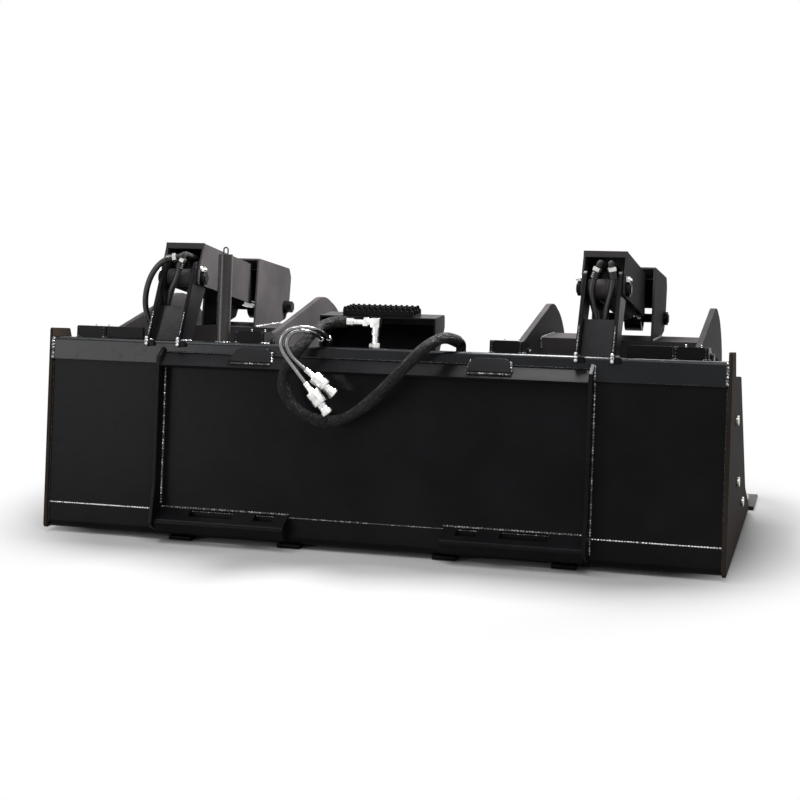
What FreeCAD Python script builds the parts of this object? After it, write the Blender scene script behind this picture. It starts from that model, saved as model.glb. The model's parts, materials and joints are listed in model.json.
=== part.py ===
import FreeCAD, Part
import math
import os

# Skid-steer grapple bucket, 1829 mm over its side plates, drawn in millimetres.
# X runs across the bucket, +Y points out of its mouth and +Z up.
# The datum for the work below is the lower rear edge of the shell. The shell's back leans
# forward, and pieces on it are drawn in a leaning frame: y forward of the back face, s up along it.

SIZES = (
    # Shell of the bucket
    ("bucket_width", 1829.0),
    ("side_plate", 10.0),
    ("shell_plate", 8.0),
    ("back_lean", 7.2),
    ("back_height", 521.0),
    ("heel_seam", 71.0),
    ("heel_radius", 20.0),
    ("floor_depth", 900.0),
    ("side_setback", 122.0),
    ("side_overhang", 8.0),
    ("horn_height", 23.0),
    ("horn_depth", 89.0),
    ("shoulder_depth", 288.0),
    ("shoulder_drop", 77.0),
    ("knee_depth", 597.0),
    ("knee_height", 97.0),
    # Bolt-on cutting edge and the strips that carry the heel
    ("edge_overhang", 11.5),
    ("edge_plate", 12.0),
    ("edge_lap", 110.0),
    ("edge_reach", 80.0),
    ("edge_bevel", 26.0),
    ("edge_bolt_radius", 8.0),
    ("edge_bolt_setback", 55.0),
    ("bolt_clearance", 0.3),
    ("skid_width", 62.0),
    ("skid_inner", 210.0),
    ("skid_outer", 517.0),
    # Bent rail along the top of the back
    ("rail_plate", 6.0),
    ("rail_drop", 61.0),
    ("rail_depth", 68.0),
    ("rail_front", 51.0),
    ("rail_bend", 10.0),
    # Quick-attach frame
    ("attach_inside", 1143.0),
    ("attach_plate", 10.0),
    ("flange_depth", 40.0),
    ("lip_top", 490.0),
    ("lip_reach", 33.0),
    ("lip_land", 4.0),
    ("ledge_length", 363.0),
    ("ledge_top", 78.0),
    ("ledge_reach", 52.0),
    ("ledge_fall", 36.0),
    ("pin_slot_centre", 420.0),
    ("pin_slot_length", 124.0),
    ("pin_slot_width", 27.0),
    ("drain_slot_centre", 272.0),
    ("drain_slot_length", 54.0),
    ("lip_gusset_centre", 319.0),
    ("lip_gusset_width", 116.0),
    # Grapple hinges
    ("claw_side_gap", 104.5),
    ("claw_middle_gap", 348.0),
    ("claw_reach", 784.0),
    ("tine_plate", 16.0),
    ("pivot_reach", 33.0),
    ("pivot_drop", 4.3),
    ("pivot_pin_radius", 16.0),
    ("hub_radius", 30.0),
    ("hub_width", 60.0),
    ("fork_plate", 12.0),
    ("fork_clearance", 1.0),
    ("running_fit", 0.05),
    # Towers and cylinders
    ("tower_plate", 10.0),
    ("tower_inside", 80.0),
    ("base_pin_forward", 130.7),
    ("base_pin_height", 156.1),
    ("base_pin_radius", 12.7),
    ("rod_pin_forward", 590.0),
    ("rod_pin_height", 40.0),
    ("rod_pin_radius", 12.7),
    ("linkage_play", 14.0),
    ("barrel_radius", 30.0),
    ("barrel_bore", 25.0),
    ("barrel_length", 390.0),
    ("rod_radius", 16.0),
    ("rod_eye_wall", 11.0),
    ("guard_plate", 5.0),
    ("guard_clearance", 1.0),
    ("guard_top", 96.0),
    ("guard_length", 348.0),
    ("arm_guard_width", 170.0),
    ("arm_guard_plate", 6.0),
    # Step, post and plumbing
    ("step_width", 314.0),
    ("step_plate", 5.0),
    ("post_radius", 19.0),
    ("post_height", 235.0),
    ("post_centre", 425.0),
    ("sleeve_radius", 15.0),
    ("supply_radius", 5.0),
    ("hose_radius", 8.0),
)

doc = FreeCAD.newDocument("grapple_bucket")
sheet = doc.addObject("Spreadsheet::Sheet", "sizes")
for row, (alias, value) in enumerate(SIZES, start=1):
    sheet.set("A%d" % row, alias)
    sheet.set("B%d" % row, str(value))
    sheet.setAlias("B%d" % row, alias)
doc.recompute()


class Sizes:
    """Reads a driving size from the sheet by its alias."""

    def __getattr__(self, alias):
        return float(sheet.get(alias))


size = Sizes()
Vector = FreeCAD.Vector
ACROSS = Vector(1, 0, 0)
FORWARD = Vector(0, 1, 0)
UP = Vector(0, 0, 1)
SIDES = (("left", -1), ("right", 1))

lean = math.radians(size.back_lean)
half_width = size.bucket_width / 2
inner_half = half_width - size.side_plate
stand = size.edge_plate
deck = size.back_height
side_depth = size.floor_depth - size.side_setback
edge_back = size.floor_depth - size.edge_lap
edge_front = size.floor_depth + size.edge_reach
edge_bolt_line = size.floor_depth - size.edge_bolt_setback
sub_parts = []

# Each grapple's middle, and its claws to either side of it
unit_centre = (half_width - size.claw_side_gap + size.claw_middle_gap) / 2
tine_offset = (half_width - size.claw_side_gap - size.claw_middle_gap) / 2
claw_scale = size.claw_reach / 784


def from_lean(y, s):
    """Datum-frame (Y, Z) of a point y forward of the back face and s up along it."""
    return (y * math.cos(lean) + s * math.sin(lean), s * math.cos(lean) - y * math.sin(lean))


def to_lean(forward, height):
    """Leaning-frame (y, s) of a point of the datum frame."""
    y = forward * math.cos(lean) - height * math.sin(lean)
    s = forward * math.sin(lean) + height * math.cos(lean)
    return (y, s)


# Key axes, as (Y, Z) of the datum frame
deck_rear = from_lean(0, deck)
pivot_lean = (size.rail_depth + size.pivot_reach, deck - size.pivot_drop)
pivot = from_lean(*pivot_lean)
base_pin = (deck_rear[0] + size.base_pin_forward, deck_rear[1] + size.base_pin_height)
rod_pin = (pivot[0] + size.rod_pin_forward, pivot[1] + size.rod_pin_height)
cylinder_length = math.hypot(rod_pin[0] - base_pin[0], rod_pin[1] - base_pin[1])
cylinder_angle = math.degrees(math.atan2(rod_pin[1] - base_pin[1], rod_pin[0] - base_pin[0]))

# The attach flanges' lowest rear corner is the rearmost point and the cutting edge the foremost
flange_foot = (-size.ledge_reach - 5, size.ledge_top - size.ledge_fall - 4)
middle = (from_lean(*flange_foot)[0] + edge_front) / 2


def place(x=0.0, forward=0.0, height=0.0, turn=0.0):
    """Where something drawn about the datum, moved there and turned about X, stands in the part."""
    return FreeCAD.Placement(Vector(x, forward - middle, height + stand), FreeCAD.Rotation(ACROSS, turn))


def leaning(x=0.0):
    """Place of something drawn in the leaning frame."""
    return place(x, turn=-size.back_lean)


def on_cylinder(x=0.0):
    """Place of something drawn along a cylinder: y from the base pin towards the rod pin."""
    return place(x, base_pin[0], base_pin[1], cylinder_angle)


def outline(corners):
    """Edges through corners (a, b, radius), with a tangent arc at each corner that has a radius."""
    count = len(corners)
    points = [Vector(corner[0], corner[1], 0) for corner in corners]
    starts, ends, arcs = [], [], []
    for index, corner in enumerate(corners):
        point = points[index]
        radius = corner[2] if len(corner) > 2 else 0
        if radius <= 0:
            starts.append(point)
            ends.append(point)
            arcs.append(None)
            continue
        back = (points[index - 1] - point).normalize()
        ahead = (points[(index + 1) % count] - point).normalize()
        half = back.getAngle(ahead) / 2
        reach = radius / math.tan(half)
        inwards = (back + ahead).normalize() * (radius / math.sin(half) - radius)
        starts.append(point + back * reach)
        ends.append(point + ahead * reach)
        arcs.append(Part.Arc(starts[-1], point + inwards, ends[-1]))
    edges = []
    for index in range(count):
        if arcs[index]:
            edges.append(arcs[index])
        edges.append(Part.LineSegment(ends[index], starts[(index + 1) % count]))
    return edges


def trace(start, *steps):
    """Edges of a closed outline: a step is (end,) for a straight run or (through, end) for an arc."""
    edges = []
    here = Vector(start[0], start[1], 0)
    for step in steps:
        end = Vector(step[-1][0], step[-1][1], 0)
        if len(step) == 1:
            edges.append(Part.LineSegment(here, end))
        else:
            edges.append(Part.Arc(here, Vector(step[0][0], step[0][1], 0), end))
        here = end
    return edges


def circle(a, b, radius):
    return Part.Circle(Vector(a, b, 0), UP, radius)


def offset_path(points, distance):
    """Points moved to the right of a path, mitred where it turns."""
    path = [Vector(point[0], point[1], 0) for point in points]
    normals = []
    for start, end in zip(path, path[1:]):
        run = end - start
        normals.append(Vector(run.y, -run.x, 0).normalize())
    moved = []
    for index, point in enumerate(path):
        before = normals[max(index - 1, 0)]
        after = normals[min(index, len(normals) - 1)]
        shift = (before + after) * (distance / (1 + before.dot(after)))
        moved.append((point.x + shift.x, point.y + shift.y))
    return moved


def bent(points, thickness, radius):
    """Outline of a plate bent to the right along points of its outer face."""
    last = len(points) - 1
    outer = [(*point, radius if 0 < index < last else 0) for index, point in enumerate(points)]
    inside = max(radius - thickness, 0)
    inner = [(*point, inside if 0 < index < last else 0)
             for index, point in enumerate(offset_path(points, thickness))]
    return outline(outer + inner[::-1])


def keep(item, label, where):
    """Name a sub-part, place it and put it on the list of what is written."""
    item.Label = label
    item.Placement = where
    sub_parts.append(item)
    return item


def sketch_on(body, plane, edges):
    sketch = body.newObject("Sketcher::SketchObject", "Outline")
    planes = {feature.Role: feature for feature in body.Origin.OriginFeatures}
    sketch.AttachmentSupport = [(planes[plane], "")]
    sketch.MapMode = "FlatFace"
    sketch.addGeometry(edges, False)
    return sketch


def pad(body, edges, length, plane="YZ_Plane"):
    """Pad an outline both ways from its plane; a length given as text is a formula on the sheet."""
    feature = body.newObject("PartDesign::Pad", "Pad")
    feature.Profile = sketch_on(body, plane, edges)
    feature.SideType = "Symmetric"
    if isinstance(length, str):
        feature.setExpression("Length", length)
    else:
        feature.Length = length
    return feature


def pocket(body, edges, length, plane="YZ_Plane"):
    """Cut an outline both ways from its plane."""
    feature = body.newObject("PartDesign::Pocket", "Pocket")
    feature.Profile = sketch_on(body, plane, edges)
    feature.SideType = "Symmetric"
    if isinstance(length, str):
        feature.setExpression("Length", length)
    else:
        feature.Length = length
    return feature


def plate(label, edges, length, where, plane="YZ_Plane"):
    body = doc.addObject("PartDesign::Body", label)
    pad(body, edges, length, plane)
    return keep(body, label, where)


def turned(label, profile, where):
    """A turned piece along X: its profile is (along, radius) corners, closed on the axis."""
    body = doc.addObject("PartDesign::Body", label)
    feature = body.newObject("PartDesign::Revolution", "Turning")
    sketch = sketch_on(body, "XY_Plane", outline(profile))
    feature.Profile = sketch
    feature.ReferenceAxis = (sketch, ["H_Axis"])
    feature.Angle = 360.0
    return keep(body, label, where)


def made(label, shape, where):
    """A sub-part whose shape the functions below work out from the sheet."""
    item = doc.addObject("Part::Feature", label)
    item.Shape = shape
    return keep(item, label, where)


def box(x0, x1, y0, y1, z0, z1):
    return Part.makeBox(x1 - x0, y1 - y0, z1 - z0, Vector(x0, y0, z0))


def rod_between(radius, start, end):
    start = Vector(*start)
    run = Vector(*end) - start
    return Part.makeCylinder(radius, run.Length, start, run)


def prism(edges, x0, x1):
    """Solid of a (y, z) outline between two places across the bucket."""
    face = Part.Face(Part.Wire([edge.toShape() for edge in edges]))
    face.Placement = FreeCAD.Placement(Vector(x0, 0, 0), FreeCAD.Rotation(Vector(1, 1, 1), 120))
    return face.extrude(Vector(x1 - x0, 0, 0))


def tube_path(points, share=0.45):
    """Straight runs joined by tangent arcs, each as large as its two runs allow."""
    points = [Vector(*point) for point in points]
    edges, radii = [], []
    here = points[0]
    for index in range(1, len(points) - 1):
        corner = points[index]
        back = points[index - 1] - corner
        ahead = points[index + 1] - corner
        reach = share * min(back.Length, ahead.Length)
        back.normalize()
        ahead.normalize()
        half = back.getAngle(ahead) / 2
        radius = reach * math.tan(half)
        radii.append(radius)
        inwards = (back + ahead).normalize() * (radius / math.sin(half) - radius)
        start = corner + back * reach
        end = corner + ahead * reach
        edges.append(Part.LineSegment(here, start).toShape())
        edges.append(Part.Arc(start, corner + inwards, end).toShape())
        here = end
    edges.append(Part.LineSegment(here, points[-1]).toShape())
    return Part.Wire(edges), radii


def tube(points, radius, share=0.45):
    """Round bar along a tube path."""
    path, _ = tube_path(points, share)
    first = Vector(*points[0])
    ring = Part.Wire(Part.makeCircle(radius, first, Vector(*points[1]) - first))
    return path.makePipeShell([ring], True, False)


def cord(label, points, radius):
    """A hose's tube; its volume is compared with its section times its length."""
    solid = tube(points, radius)
    path, radii = tube_path(points)
    expected = math.pi * radius ** 2 * path.Length
    error = abs(solid.Volume / expected - 1)
    turns = ", ".join("%.0f" % value for value in radii)
    print("%s length %.0f volume error %.4f radii %s" % (label, path.Length, error, turns))
    if error > 0.01:
        raise ValueError(label + " has a wrong volume")
    return made(label, solid, place())


def hexagon(across, x, y, z0, z1):
    """Hexagonal bar standing along z, its flats `across` apart."""
    corners = [
        Vector(x + across / math.sqrt(3) * math.cos(math.radians(60 * step)),
               y + across / math.sqrt(3) * math.sin(math.radians(60 * step)), z0)
        for step in range(6)
    ]
    return Part.Face(Part.makePolygon(corners + corners[:1])).extrude(Vector(0, 0, z1 - z0))


def build_shell():
    back_top = deck - size.rail_plate - size.rail_bend
    back = doc.addObject("Part::Box", "back_plate")
    back.setExpression("Length", "sizes.bucket_width - 2 * sizes.side_plate")
    back.setExpression("Width", "sizes.shell_plate")
    back.Height = back_top - size.heel_seam
    corner = FreeCAD.Placement(Vector(-inner_half, 0, size.heel_seam), FreeCAD.Rotation())
    keep(back, "back_plate", leaning().multiply(corner))

    floor = bent((
        (size.floor_depth, 0),
        (0, 0),
        from_lean(0, size.heel_seam),
    ), size.shell_plate, size.heel_radius)
    body = doc.addObject("PartDesign::Body", "floor_plate")
    pad(body, floor, "sizes.bucket_width - 2 * sizes.side_plate")
    keep(body, "floor_plate", place())
    hole = size.edge_bolt_radius + size.bolt_clearance
    holes = [circle(x, edge_bolt_line, hole) for x in edge_bolt_places()]
    pocket(body, holes, 3 * size.shell_plate, "XY_Plane")

    lower = -size.edge_plate
    body = doc.addObject("PartDesign::Body", "cutting_edge")
    pad(body, outline((
        (edge_back, lower),
        (edge_front, lower),
        (edge_front, lower + 3),
        (edge_front - size.edge_bevel, 0),
        (edge_back, 0),
    )), "sizes.bucket_width + 2 * sizes.edge_overhang")
    keep(body, "cutting_edge", place())
    pocket(body, holes, 3 * size.edge_plate, "XY_Plane")
    seat = 1.6 * size.edge_bolt_radius + size.bolt_clearance
    head = [circle(x, edge_bolt_line, seat) for x in edge_bolt_places()]
    sink = body.newObject("PartDesign::Pocket", "HeadSeats")
    sink.Profile = sketch_on(body, "XY_Plane", head)
    sink.Profile[0].AttachmentOffset = FreeCAD.Placement(Vector(0, 0, lower), FreeCAD.Rotation())
    sink.Length = size.edge_plate / 2
    sink.Reversed = True

    bolts = []
    grip = size.edge_plate + size.shell_plate
    for x in edge_bolt_places():
        y = edge_bolt_line
        foot = Vector(x, y, lower + 0.5)
        shank = Part.makeCylinder(size.edge_bolt_radius, grip + 15, foot)
        head = Part.makeCylinder(1.6 * size.edge_bolt_radius, size.edge_plate / 2 - 0.5, foot)
        nut = hexagon(3 * size.edge_bolt_radius, x, y, size.shell_plate, size.shell_plate + 13)
        bolts.append(shank.fuse([head, nut]).removeSplitter())
    made("edge_bolts", Part.makeCompound(bolts), place())


def edge_bolt_places():
    """Bolts from end to end of the cutting edge."""
    count = 8
    reach = half_width - 20
    return [-reach + 2 * reach * index / (count - 1) for index in range(count)]


def side_bolt_places():
    """(Y, Z) of the three bolts in each side plate."""
    rear = from_lean(0, 0.72 * deck)
    return (
        (rear[0] + 165, rear[1] - 23),
        (rear[0] + 234, rear[1] - 194),
        (rear[0] + 403, rear[1] - 283),
    )


def build_sides():
    rear_foot = from_lean(-size.side_overhang, 0)
    horn = from_lean(-size.side_overhang, deck + size.horn_height)
    horn_front = from_lean(size.horn_depth, deck + size.horn_height)
    notch = from_lean(size.horn_depth + 27, deck - 38)
    shoulder = (deck_rear[0] + size.shoulder_depth, deck_rear[1] - size.shoulder_drop)
    corners = (
        (rear_foot[0], 0, 10),
        (horn[0], horn[1], 6),
        (horn_front[0], horn_front[1], 8),
        (notch[0], notch[1], 16),
        (shoulder[0], shoulder[1], 28),
        (size.knee_depth, size.knee_height, 40),
        (side_depth, 0, 6),
    )
    bolt_radius = 8.0
    holes = [circle(y, z, bolt_radius + size.bolt_clearance) for y, z in side_bolt_places()]
    bolts = []
    for name, sign in SIDES:
        x = sign * (half_width - size.side_plate / 2)
        plate("side_plate_" + name, outline(corners) + holes, "sizes.side_plate", place(x))
        outer = sign * half_width
        inner = sign * inner_half
        for y, z in side_bolt_places():
            shank = rod_between(bolt_radius, (inner - sign * 12, y, z), (outer, y, z))
            head = rod_between(13, (outer, y, z), (outer + sign * 7, y, z))
            nut = rod_between(12, (inner - sign * 10, y, z), (inner, y, z))
            bolts.append(shank.fuse([head, nut]).removeSplitter())
    made("side_bolts", Part.makeCompound(bolts), place())


def build_skids():
    strips = []
    for sign in (-1, 1):
        for centre in (size.skid_inner, size.skid_outer):
            x = sign * centre
            half = size.skid_width / 2
            strip = box(x - half, x + half, 4, edge_back - 5, -size.edge_plate, 0)
            rear = [edge for edge in strip.Edges if edge.BoundBox.YMax < 5 and edge.BoundBox.ZMax < -1]
            rear = [edge for edge in rear if edge.BoundBox.XLength > 1]
            strips.append(strip.makeChamfer(6, rear))
    made("wear_skids", Part.makeCompound(strips), place())


def build_rail():
    rail = bent((
        (-size.rail_plate, deck - size.rail_drop),
        (-size.rail_plate, deck),
        (size.rail_depth, deck),
        (size.rail_depth, deck - size.rail_front),
    ), size.rail_plate, size.rail_bend)
    plate("top_rail", rail, "sizes.bucket_width - 2 * sizes.side_plate", leaning())
    outer_end = unit_centre + tine_offset - fork_half() - 4
    inner_end = unit_centre + size.tower_inside / 2 + size.tower_plate + 25
    bars = [
        box(inner_end, outer_end, 28, 38, deck, deck + 32),
        box(-outer_end, -inner_end, 28, 38, deck, deck + 32),
    ]
    made("rail_bars", Part.makeCompound(bars), leaning())


def fork_half():
    """Half the width of a hinge fork over its two ears."""
    return size.hub_width / 2 + size.fork_clearance + size.fork_plate


def build_attach_frame():
    rail_face = -size.rail_plate
    half_inside = size.attach_inside / 2
    square = size.attach_plate / math.sqrt(2)
    lip_foot = size.lip_top - 2 * square - size.lip_land
    lip = outline((
        (rail_face, size.lip_top),
        (rail_face - size.lip_reach, size.lip_top - size.lip_reach),
        (rail_face - size.lip_reach + square, size.lip_top - size.lip_reach - square),
        (rail_face - size.lip_land, lip_foot),
        (rail_face, lip_foot),
    ))
    plate("attach_lip", lip, "sizes.attach_inside", leaning())

    seam = deck - size.rail_drop
    flange = outline((
        (0, size.ledge_top - size.ledge_fall - 30),
        (0, seam),
        (rail_face, seam),
        (rail_face, size.lip_top + 14),
        (-size.flange_depth, size.lip_top - 12, 4),
        (-size.flange_depth, size.ledge_top + 60, 60),
        flange_foot,
        (flange_foot[0] + 12, flange_foot[1] - 12),
    ))
    for name, sign in SIDES:
        x = sign * (half_inside + size.attach_plate / 2)
        plate("attach_flange_" + name, flange, "sizes.attach_plate", leaning(x))

    ledge_tip = (-size.ledge_reach, size.ledge_top - size.ledge_fall)
    ledge_foot = (-size.ledge_reach + 28, size.ledge_top - size.ledge_fall - 30)
    leaf_path = (ledge_foot, ledge_tip, (0, size.ledge_top))
    profile = bent(leaf_path, size.attach_plate, 12)
    fall = math.atan2(size.ledge_fall, size.ledge_reach)
    slots = (
        (size.pin_slot_centre, size.pin_slot_length),
        (size.drain_slot_centre, size.drain_slot_length),
    )
    for name, sign in SIDES:
        outer = sign * half_inside
        inner = sign * (half_inside - size.ledge_length)
        leaf = prism(profile, min(outer, inner), max(outer, inner))
        leaf = leaf.cut(box(-half_width, half_width, 0, 60, 0, 200))
        for centre, length in slots:
            x = sign * centre
            slot = box(x - length / 2, x + length / 2, -size.pin_slot_width - 5, -5, -30, 30)
            slot.rotate(Vector(0, 0, 0), ACROSS, math.degrees(fall))
            slot.translate(Vector(0, 0, size.ledge_top))
            leaf = leaf.cut(slot)
        made("ledge_" + name, leaf.removeSplitter(), leaning())

    under_foot, under_tip, _ = offset_path(leaf_path, size.attach_plate)
    gusset = outline((
        (0, size.ledge_top - size.attach_plate / math.cos(fall)),
        (*under_tip, 3),
        under_foot,
        (0, ledge_foot[1]),
    ))
    inner_edge = half_inside - size.ledge_length
    stations = (inner_edge + 4, (size.pin_slot_centre + size.drain_slot_centre) / 2 - 17, half_inside - 26)
    ribs = [prism(gusset, sign * x - 4, sign * x + 4) for sign in (-1, 1) for x in stations]
    made("ledge_gussets", Part.makeCompound(ribs), leaning())

    top = (rail_face, size.lip_top + 14)
    drop = size.lip_reach - 12
    foot = (rail_face - drop, size.lip_top - drop)
    slope = math.hypot(top[0] - foot[0], top[1] - foot[1])
    tilt = math.degrees(math.atan2(top[0] - foot[0], top[1] - foot[1]))
    cover = outline((
        (-size.lip_gusset_width / 2, 0),
        (-size.lip_gusset_width / 2 + 8, slope, 20),
        (size.lip_gusset_width / 2 - 8, slope, 20),
        (size.lip_gusset_width / 2, 0),
    ))
    face = Part.Face(Part.Wire([edge.toShape() for edge in cover]))
    covers = []
    for sign in (-1, 1):
        cover_plate = face.extrude(Vector(0, 0, size.attach_plate - 2))
        cover_plate.rotate(Vector(0, 0, 0), ACROSS, 90 - tilt)
        cover_plate.translate(Vector(sign * size.lip_gusset_centre, foot[0], foot[1]))
        covers.append(cover_plate)
    made("lip_gussets", Part.makeCompound(covers), leaning())


def tower_outline():
    foot = from_lean(-16, deck - 17)
    return outline((
        foot,
        (base_pin[0] - 46, base_pin[1] + 4, 60),
        (base_pin[0] - 22, base_pin[1] + 48, 20),
        (base_pin[0] + 34, base_pin[1] + 42, 30),
        (base_pin[0] + 44, base_pin[1] - 22, 30),
        from_lean(size.rail_depth, deck),
        from_lean(-size.rail_plate, deck),
        from_lean(-size.rail_plate, deck - 17),
    ))


def build_towers():
    bore = size.base_pin_radius + size.running_fit
    offset = size.tower_inside / 2 + size.tower_plate / 2
    webs = []
    for name, sign in SIDES:
        centre = sign * unit_centre
        cheeks = []
        for side in (-1, 1):
            x = centre + side * offset
            cheek = prism(tower_outline(), x - size.tower_plate / 2, x + size.tower_plate / 2)
            hole = rod_between(bore, (x - size.tower_plate, *base_pin), (x + size.tower_plate, *base_pin))
            cheeks.append(cheek.cut(hole))
        made("tower_" + name, Part.makeCompound(cheeks), place())
        foot = from_lean(-16, deck)
        rise = Vector(base_pin[0] - 46 - foot[0], base_pin[1] - foot[1], 0).normalize()
        along = Vector(math.cos(lean), -math.sin(lean), 0)
        low = Vector(*from_lean(14, deck), 0)
        high = low + rise * 104
        inside = Vector(rise.y, -rise.x, 0) * 8
        step = along * (8 / (along.x * rise.y - along.y * rise.x))
        web = outline([(point.x, point.y) for point in (low, high, high + inside, low + step)])
        webs.append(prism(web, centre - size.tower_inside / 2, centre + size.tower_inside / 2))
    made("tower_webs", Part.makeCompound(webs), place())


def build_hinges():
    ear = outline((
        (30, deck),
        (30, deck + 32, 6),
        (pivot_lean[0] - 18, deck + 32, 22),
        (pivot_lean[0] + 32, pivot_lean[1] + 12, 16),
        (pivot_lean[0] + 32, pivot_lean[1] - 32, 28),
        (size.rail_depth, pivot_lean[1] - 50),
        (size.rail_depth, deck),
    ))
    inner = size.hub_width / 2 + size.fork_clearance
    bore = size.pivot_pin_radius + size.running_fit
    pins = []
    for name, sign in SIDES:
        forks = []
        for side in (-1, 1):
            x = sign * unit_centre + side * tine_offset
            starts = (x + inner, x - inner - size.fork_plate)
            ears = [prism(ear, start, start + size.fork_plate) for start in starts]
            web = box(x - inner, x + inner, 30, 40, deck, deck + 32)
            fork = ears[0].fuse([ears[1], web]).removeSplitter()
            fork = fork.cut(rod_between(bore, (x - 60, *pivot_lean), (x + 60, *pivot_lean)))
            forks.append(fork)
            out = sign * side
            reach = fork_half()

            def run(radius, start, end):
                """Round bar along the pin, from and to distances on its head's side."""
                return rod_between(radius, (x + out * start, *pivot_lean), (x + out * end, *pivot_lean))

            shank = run(size.pivot_pin_radius, -reach - 9, reach + 8)
            head = run(size.pivot_pin_radius + 6, reach + 0.2, reach + 8)
            clip = run(size.pivot_pin_radius + 4, -reach - 3.2, -reach - 0.2)
            pins.append(shank.fuse([head, clip]).removeSplitter())
        made("hinge_forks_" + name, Part.makeCompound(forks), leaning())
    made("pivot_pins", Part.makeCompound(pins), leaning())

    base_pins = []
    outer = size.tower_inside / 2 + size.tower_plate + size.guard_clearance + size.guard_plate
    for _, sign in SIDES:
        x = sign * unit_centre
        end = outer + 14
        shank = rod_between(size.base_pin_radius, (x - end, *base_pin), (x + end, *base_pin))
        heads = [
            rod_between(19, (x + side * (outer + 1), *base_pin), (x + side * (outer + 11), *base_pin))
            for side in (-1, 1)
        ]
        base_pins.append(shank.fuse(heads).removeSplitter())
    made("base_pins", Part.makeCompound(base_pins), place())


def on_claw(*points):
    """Points about a claw's pivot, in step with the claw's reach."""
    return [(point[0] * claw_scale, point[1] * claw_scale, *point[2:]) for point in points]


def tine_outline(tip):
    """Claw plate about its pivot: a straight top edge, a round nose and a point at the cutting edge."""
    crown, brow, nose, throat, palm, heel = on_claw(
        (520, 81), (670, 9), (772, -290), (738, -290), (640, -98), (30, -46))
    rise, ridge, cheek, muzzle, chin, belly, waist, root = on_claw(
        (114, 22), (455, 77), (585, 60), (727, -67), (692, -172), (560, -62), (330, -62), (120, -52))
    return trace(
        (-26, 0),
        ((-18, 18), (0, 27)),
        (rise,),
        (ridge,),
        (crown, cheek),
        (brow, muzzle),
        (nose, tip),
        ((tip[0] - 20, tip[1]),),
        (throat, chin),
        (palm, belly),
        (waist,),
        (root,),
        (heel, (0, -27)),
        ((-18, -18), (-26, 0)),
    )


def build_grapples():
    tip = (size.claw_reach, 4 - pivot[1])
    bore = size.pivot_pin_radius + size.running_fit
    pin_bore = size.rod_pin_radius + size.running_fit
    rod_at = (size.rod_pin_forward, size.rod_pin_height)
    between = 2 * tine_offset - size.tine_plate
    half_guard = size.arm_guard_width / 2
    for name, sign in SIDES:
        centre = sign * unit_centre
        for which, side in (("outer", sign), ("inner", -sign)):
            label = "tine_%s_%s" % (which, name)
            body = doc.addObject("PartDesign::Body", label)
            pad(body, tine_outline(tip), "sizes.tine_plate")
            pad(body, [circle(0, 0, size.hub_radius)], "sizes.hub_width")
            pocket(body, [circle(0, 0, bore)], 2 * size.hub_width)
            keep(body, label, place(centre + side * tine_offset, *pivot))

        shelf = outline(on_claw(
            (342.6, 5),
            (539, -5),
            (538.4, -17),
            (354.6, -7.4),
            (354.6, -58),
            (342.6, -58),
        ))
        plate("cross_plate_" + name, shelf, between, place(centre, *pivot))

        label = "arm_guard_" + name
        body = doc.addObject("PartDesign::Body", label)
        pad(body, outline(on_claw(
            (342.6, 5),
            (385, 203, 4),
            (638, 154, 10),
            (652, 125, 20),
            (632, 40, 34),
            (600, 2, 20),
            (539, -5),
        )), "sizes.arm_guard_width")
        high, low = on_claw((300, 203 + 85 * 49 / 253), (700, 203 - 315 * 49 / 253))
        roof = size.arm_guard_plate / math.cos(math.atan2(49, 253))
        pocket(body, outline((
            (high[0], high[1] - roof),
            (low[0], low[1] - roof),
            (low[0], -60),
            (high[0], -60),
        )), "sizes.arm_guard_width - 2 * sizes.arm_guard_plate")
        pocket(body, [circle(rod_at[0], rod_at[1], pin_bore)], 2 * size.arm_guard_width)
        keep(body, label, place(centre, *pivot))

        turned("rod_pin_" + name, (
            (-half_guard - 14, 0),
            (-half_guard - 14, size.rod_pin_radius - 2),
            (-half_guard - 12, size.rod_pin_radius),
            (-half_guard - 11, size.rod_pin_radius),
            (-half_guard - 11, 19),
            (-half_guard - 0.1, 19),
            (-half_guard - 0.1, size.rod_pin_radius),
            (half_guard + 0.1, size.rod_pin_radius),
            (half_guard + 0.1, 19),
            (half_guard + 11, 19),
            (half_guard + 11, size.rod_pin_radius),
            (half_guard + 12, size.rod_pin_radius),
            (half_guard + 14, size.rod_pin_radius - 2),
            (half_guard + 14, 0),
        ), place(centre, *rod_pin))


# Steel lines from each cylinder's two ports to where its hoses start, in the cylinder's frame
ROD_LINE = ((20, 350, 38), (20, 350, 54), (22, 332, 60), (22, 60, 60), (21, -30, 60), (21, -50, 60))
HARD_LINES = {
    "left": (
        ((-8, 52, 42), (-8, 52, 56), (-2, 34, 62), (10, -30, 62), (14, -54, 52), (-10, -58, 46)),
        ROD_LINE + ((12, -46, 38),),
    ),
    "right": (
        ((-8, 52, 42), (-8, 52, 56), (-8, 34, 62), (-6, -30, 62), (-6, -50, 60), (-14, -45, 38)),
        ROD_LINE + ((25, -45, 38),),
    ),
}


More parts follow.
